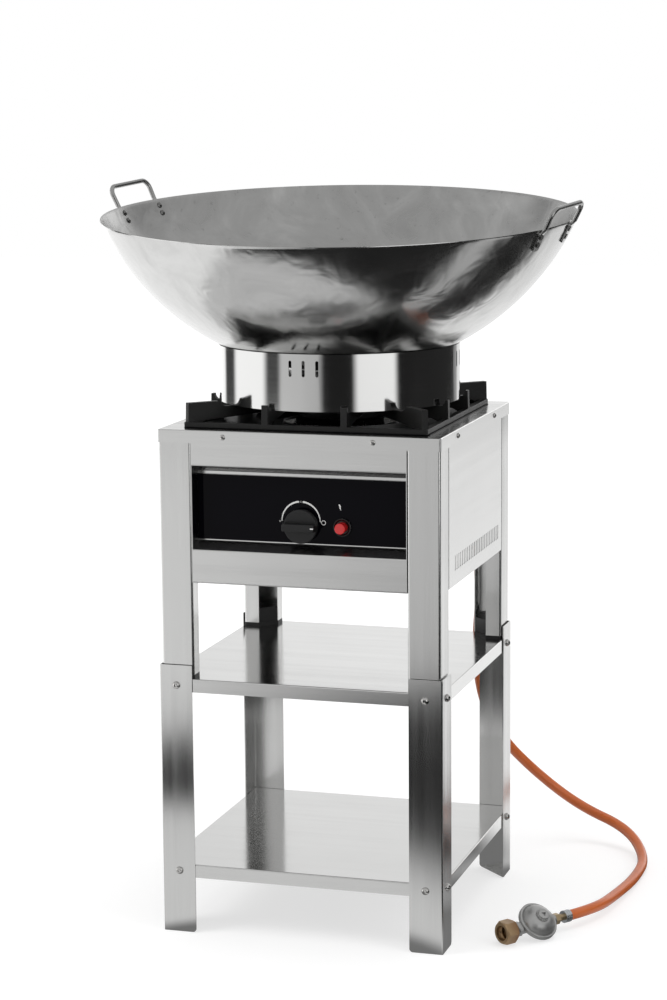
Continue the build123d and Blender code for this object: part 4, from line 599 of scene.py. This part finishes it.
# Gas hose: 15 mm outside, from the ferrule under the elbow, down behind the stool and back over the floor.
hoseSizes = {
    "radius": 7.5,
    "length": 1020.0,
    "route": [
        (146.64, 219.0, 492.14), (152.56, 219.0, 424.40), (143.8, 227.5, 343.0), (141.2, 258.6, 257.5),
        (158.8, 310.8, 178.2), (205.4, 359.9, 109.9), (272.4, 378.0, 54.7), (353.7, 355.5, 31.0),
        (395.3, 278.7, 9.7), (397.1, 182.5, 8.2), (386.2, 87.4, 11.5), (374.95, 1.01, 17.6),
        (343.80, -41.86, 17.6),
    ],
}


def makeHose(s):
    curve = bpy.data.curves.new("gasHose", "CURVE")
    curve.dimensions = "3D"
    curve.bevel_depth = s["radius"] * mm
    curve.bevel_resolution = 7
    curve.resolution_u = 16
    curve.use_fill_caps = True
    spline = curve.splines.new("NURBS")
    spline.points.add(len(s["route"]) - 1)
    for point, place in zip(spline.points, s["route"]):
        point.co = (*(Vector(place) * mm), 1)
    spline.order_u = 3
    spline.use_endpoint_u = True
    hose = addPiece("gasHose", curve, "rubber", "station")
    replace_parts(hose, "gas_hose")


makeHose(hoseSizes)
print("hose laid")

# Printed marks on the control glass: the heat arc over the knob, a mark at its top, the dot and the ring at
# its ends, and the spark sign over the igniter.
printSizes = {
    "front": -175.5,
    "proud": 0.05,
    "arcCentre": (-2.9, 587.5),
    "arcRadius": 27.3,
    "arcWidth": (1.2, 2.4),
    "arcGap": 5.5,
    "dot": (-33.0, 587.0, 1.4),
    "ring": (29.0, 587.0, 2.9, 0.9),
    "spark": (52.3, 609.0),
    "bolt": [(-1.7, 4.2), (0.1, 4.2), (1.7, 0.7), (0.8, 0.7), (2.0, -4.2), (-1.0, -0.5), (0.0, -0.5)],
    "topMark": {"half": 1.5, "below": 1.2, "above": 2.0},
}


def stamp(mesh, outlines, s):
    # each outline of (x, z) points becomes a thin printed island standing just proud of the glass
    back = s["front"] * mm
    front = (s["front"] - s["proud"]) * mm
    for outline in outlines:
        near = [mesh.verts.new((x * mm, front, z * mm)) for x, z in outline]
        far = [mesh.verts.new((x * mm, back, z * mm)) for x, z in outline]
        mesh.faces.new(near)
        mesh.faces.new(list(reversed(far)))
        for i in range(len(outline)):
            j = (i + 1) % len(outline)
            mesh.faces.new((near[j], near[i], far[i], far[j]))


def arcOutline(centre, radius, widths, first, last, steps):
    # a band along an arc in degrees, with its width at the first and at the last angle
    outer, inner = [], []
    for i in range(steps + 1):
        angle = math.radians(first + (last - first) * i / steps)
        half = (widths[0] + (widths[1] - widths[0]) * i / steps) / 2
        way = Vector((math.cos(angle), math.sin(angle)))
        outer.append(tuple(Vector(centre) + way * (radius + half)))
        inner.append(tuple(Vector(centre) + way * (radius - half)))
    return outer + inner[::-1]


def islands(name, outlines, s, finishName, body):
    mesh = bmesh.new()
    stamp(mesh, outlines, s)
    bmesh.ops.recalc_face_normals(mesh, faces=mesh.faces[:])
    data = bpy.data.meshes.new(name)
    mesh.to_mesh(data)
    mesh.free()
    addPiece(name, data, finishName, body)


def makePrint(s):
    narrow, wide = s["arcWidth"]
    centre, radius = s["arcCentre"], s["arcRadius"]
    steps = 6
    run = (90 - s["arcGap"]) / steps
    white = []
    for i in range(steps):
        widths = [narrow + (wide - narrow) * math.sin(math.radians(90 / steps * k)) for k in (i, i + 1)]
        white.append(arcOutline(centre, radius, widths, i * run, (i + 1) * run, 4))
        white.append(arcOutline(centre, radius, widths[::-1], 180 - (i + 1) * run, 180 - i * run, 4))
    x, z, r, width = s["ring"]
    for first in range(0, 360, 30):
        white.append(arcOutline((x, z), r, (width, width), first, first + 30, 3))
    x, z = s["spark"]
    white.append([(x + px, z + pz) for px, pz in s["bolt"]])
    islands("controlPrint", white, s, "ink", "station")
    x, z, r = s["dot"]
    sides = 20
    turns = [math.tau * i / sides for i in range(sides)]
    dull = [[(x + r * math.cos(turn), z + r * math.sin(turn)) for turn in turns]]
    middle, top, mark = centre[0], centre[1] + radius, s["topMark"]
    foot, tip = top - mark["below"], top + mark["above"]
    dull.append([(middle - mark["half"], foot), (middle + mark["half"], foot), (middle, tip)])
    islands("controlPrintGrey", dull, s, "inkGrey", "station")


makePrint(printSizes)

# Short white line on the right end of the knob's grip bar.
markSizes = {"x": (17.0, 21.4), "z": 582.0, "width": 1.6, "front": -199.5, "proud": 0.04}


def makeKnobMark(s):
    low, high = s["x"]
    half = s["width"] / 2
    outline = [(low, s["z"] - half), (high, s["z"] - half), (high, s["z"] + half), (low, s["z"] + half)]
    islands("knobMark", [outline], s, "ink", "knob")


makeKnobMark(markSizes)
print("printed marks placed")


# The studio is white paper that runs up behind. For reflections it holds what a studio holds: a painted
# shadow on the floor under the stool, paper close to the feet, a dark stretch of floor in front, and lit and
# unlit walls all round.
# Tones go round the stool as a share of a turn: 0.5 is its front, 0.25 its left and 0.75 its right. The
# walls and the room above the floor have the shared tones in common, from its left round the front.
sharedTones = [(0.214, 0.05), (0.232, 0.96), (0.333, 0.96), (0.35, 0.05), (0.38, 0.05), (0.392, 0.5),
               (0.44, 0.48), (0.492, 0.42), (0.506, 0.012), (0.578, 0.012), (0.594, 0.84), (0.69, 0.88),
               (0.704, 0.012)]
studioSizes = {
    "floorSide": 24,
    "floorDrop": 0.0005,
    "paperGrey": 0.80,
    "paintedShadeTone": 0.15,
    # painted shade: in reflections the floor under the stool is dark, as if in the wok's shadow
    "paperTone": 0.51,
    "under": (0.28, 0.33),
    "paper": (0.67, 0.85),
    "paperMiddle": (-0.45, -0.05, 0.0),
    "apron": (2.46, 2.55),
    "apronMiddle": (1.6, 0.0, 0.0),
    "field": (4.6, 5.6),
    "apronTones": [(0.0, 0.7), (0.10, 0.95), (0.30, 1.0), (0.34, 0.02), (0.73, 0.015),
                   (0.75, 0.42), (0.775, 0.42), (0.80, 0.015), (0.88, 0.02), (0.91, 0.7), (1.0, 0.7)],
    "fieldTones": [(0.0, 0.68), (0.10, 0.78), (0.385, 0.80), (0.41, 0.62), (0.437, 0.56), (0.453, 0.50),
                   (0.470, 0.40), (0.500, 0.36), (0.52, 0.03), (0.58, 0.02), (0.60, 0.7), (0.69, 0.7),
                   (0.71, 0.015), (0.88, 0.015), (0.91, 0.62), (1.0, 0.68)],
    "wallTones": [(0.0, 0.68), (0.06, 0.7), (0.1, 0.98), (0.158, 0.92), (0.173, 0.05),
                  *sharedTones, (0.905, 0.02), (0.925, 0.05), (0.945, 0.3), (0.965, 0.62), (1.0, 0.68)],
    "roomTones": [(0.0, 0.72), (0.05, 0.68), (0.08, 0.45), (0.14, 0.45), (0.16, 0.9), (0.173, 0.05),
                  *sharedTones, (0.885, 0.012), (0.905, 0.05), (0.925, 0.22), (0.95, 1.1), (0.985, 1.0),
                  (1.0, 0.72)],
    "ceiling": 0.42,
    "rise": (0.20, 0.50),
    "gloss": 1.55,
    "ambient": 0.55,
    "shadowTone": 0.42,
    "lift": (0.65, 0.88),
    "liftRun": (0.9, 2.2),
}


def roundTone(tree, split, tones):
    back = node(tree, "ShaderNodeMath", {"operation": "MULTIPLY"}, i0=(split, 1), i1=-1.0)
    angle = node(tree, "ShaderNodeMath", {"operation": "ARCTAN2"}, i0=(split, 0), i1=(back, 0))
    share = node(tree, "ShaderNodeMath", {"operation": "MULTIPLY_ADD"}, i0=(angle, 0), i1=1 / math.tau,
                 i2=0.5)
    stops = [(place, grey(tone)) for place, tone in tones]
    return node(tree, "ShaderNodeValToRGB", {"stops": stops}, Fac=(share, 0))


def makeFloor(s):
    bpy.ops.mesh.primitive_plane_add(size=s["floorSide"], location=(0, 0, -s["floorDrop"]))
    floor = bpy.context.object
    floor.name = "studioFloor"
    made, tree = newMaterial("studioFloorPaper")
    path = node(tree, "ShaderNodeLightPath")
    place = node(tree, "ShaderNodeTexCoord")
    split = node(tree, "ShaderNodeSeparateXYZ", None, Vector=(place, "Object"))
    walls, field, apron = (roundTone(tree, split, s[k]) for k in ("wallTones", "fieldTones", "apronTones"))
    distance = node(tree, "ShaderNodeVectorMath", {"operation": "LENGTH"}, i0=(place, "Object"))
    runs = {}
    for name in ("paper", "apron"):
        runs[name] = node(tree, "ShaderNodeVectorMath", {"operation": "DISTANCE"}, i0=(place, "Object"),
                          i1=s[name + "Middle"])
    tone = None
    # the first step paints a shadow under the stool into what reflections see of the floor
    for name, nearer, further in (("under", grey(s["paintedShadeTone"]), grey(s["paperTone"])),
                                  ("paper", None, (apron, 0)), ("apron", None, (field, 0)),
                                  ("field", None, (walls, 0))):
        step = node(tree, "ShaderNodeMapRange", {"interpolation_type": "SMOOTHSTEP"},
                    Value=(runs.get(name, distance), 1), From_Min=s[name][0], From_Max=s[name][1])
        tone = node(tree, "ShaderNodeMix", {"data_type": "RGBA"}, Factor=(step, 0), i6=nearer or (tone, 2),
                    i7=further)
    seen = node(tree, "ShaderNodeEmission", None, Color=(tone, 2), Strength=s["gloss"])
    paper = node(tree, "ShaderNodeBsdfDiffuse", None, Color=grey(s["paperGrey"]))
    lift = node(tree, "ShaderNodeMapRange", {"interpolation_type": "SMOOTHSTEP"}, Value=(distance, 1),
                From_Min=s["liftRun"][0], From_Max=s["liftRun"][1], To_Min=s["lift"][0], To_Max=s["lift"][1])
    glow = node(tree, "ShaderNodeEmission", None, Color=grey(1.0), Strength=(lift, 0))
    faint = node(tree, "ShaderNodeBsdfDiffuse", None, Color=grey(s["shadowTone"]))
    shown = node(tree, "ShaderNodeAddShader", None, i0=(faint, 0), i1=(glow, 0))
    bySight = node(tree, "ShaderNodeMixShader", None, i0=(path, "Is Camera Ray"), i1=(paper, 0),
                   i2=(shown, 0))
    byGloss = node(tree, "ShaderNodeMixShader", None, i0=(path, "Is Glossy Ray"), i1=(bySight, 0),
                   i2=(seen, 0))
    node(tree, "ShaderNodeOutputMaterial", None, Surface=(byGloss, 0))
    floor.data.materials.append(made)


def makeWorld(s):
    world = bpy.data.worlds.new("studio")
    bpy.context.scene.world = world
    world.use_nodes = True
    tree = world.node_tree
    tree.nodes.clear()
    path = node(tree, "ShaderNodeLightPath")
    place = node(tree, "ShaderNodeTexCoord")
    split = node(tree, "ShaderNodeSeparateXYZ", None, Vector=(place, "Generated"))
    walls = roundTone(tree, split, s["roomTones"])
    height = node(tree, "ShaderNodeMapRange", {"interpolation_type": "SMOOTHSTEP"}, Value=(split, 2),
                  From_Min=s["rise"][0], From_Max=s["rise"][1])
    room = node(tree, "ShaderNodeMix", {"data_type": "RGBA"}, Factor=(height, 0), i6=(walls, 0),
                i7=grey(s["ceiling"]))
    reflected = node(tree, "ShaderNodeBackground", None, Color=(room, 2), Strength=s["gloss"])
    ambient = node(tree, "ShaderNodeBackground", None, Color=grey(1.0), Strength=s["ambient"])
    white = node(tree, "ShaderNodeBackground", None, Color=grey(1.0), Strength=1.0)
    byGloss = node(tree, "ShaderNodeMixShader", None, i0=(path, "Is Glossy Ray"), i1=(ambient, 0),
                   i2=(reflected, 0))
    bySight = node(tree, "ShaderNodeMixShader", None, i0=(path, "Is Camera Ray"), i1=(byGloss, 0),
                   i2=(white, 0))
    node(tree, "ShaderNodeOutputWorld", None, Surface=(bySight, 0))


# power in watts over a square softbox; mirrors show the painted studio instead of the lamps
lampTarget = (0, 0, 0.6)
lampSizes = {
    "keySoftbox": {"place": (-2.2, -1.6, 2.6), "size": 1.6, "power": 45},
    "overheadSoftbox": {"place": (0.2, 0.2, 3.2), "size": 2.0, "power": 40},
    "fillSoftbox": {"place": (2.6, -1.0, 1.8), "size": 1.4, "power": 18},
}


def softbox(name, s):
    lamp = bpy.data.lights.new(name, "AREA")
    lamp.size = s["size"]
    lamp.energy = s["power"]
    box = bpy.data.objects.new(name, lamp)
    bpy.context.scene.collection.objects.link(box)
    box.location = s["place"]
    box.rotation_euler = (Vector(lampTarget) - box.location).to_track_quat("-Z", "Y").to_euler()
    box.visible_glossy = False


makeFloor(studioSizes)
makeWorld(studioSizes)
for lampName, sizes in lampSizes.items():
    softbox(lampName, sizes)
bpy.context.scene.view_settings.view_transform = "Standard"
print("studio lit")
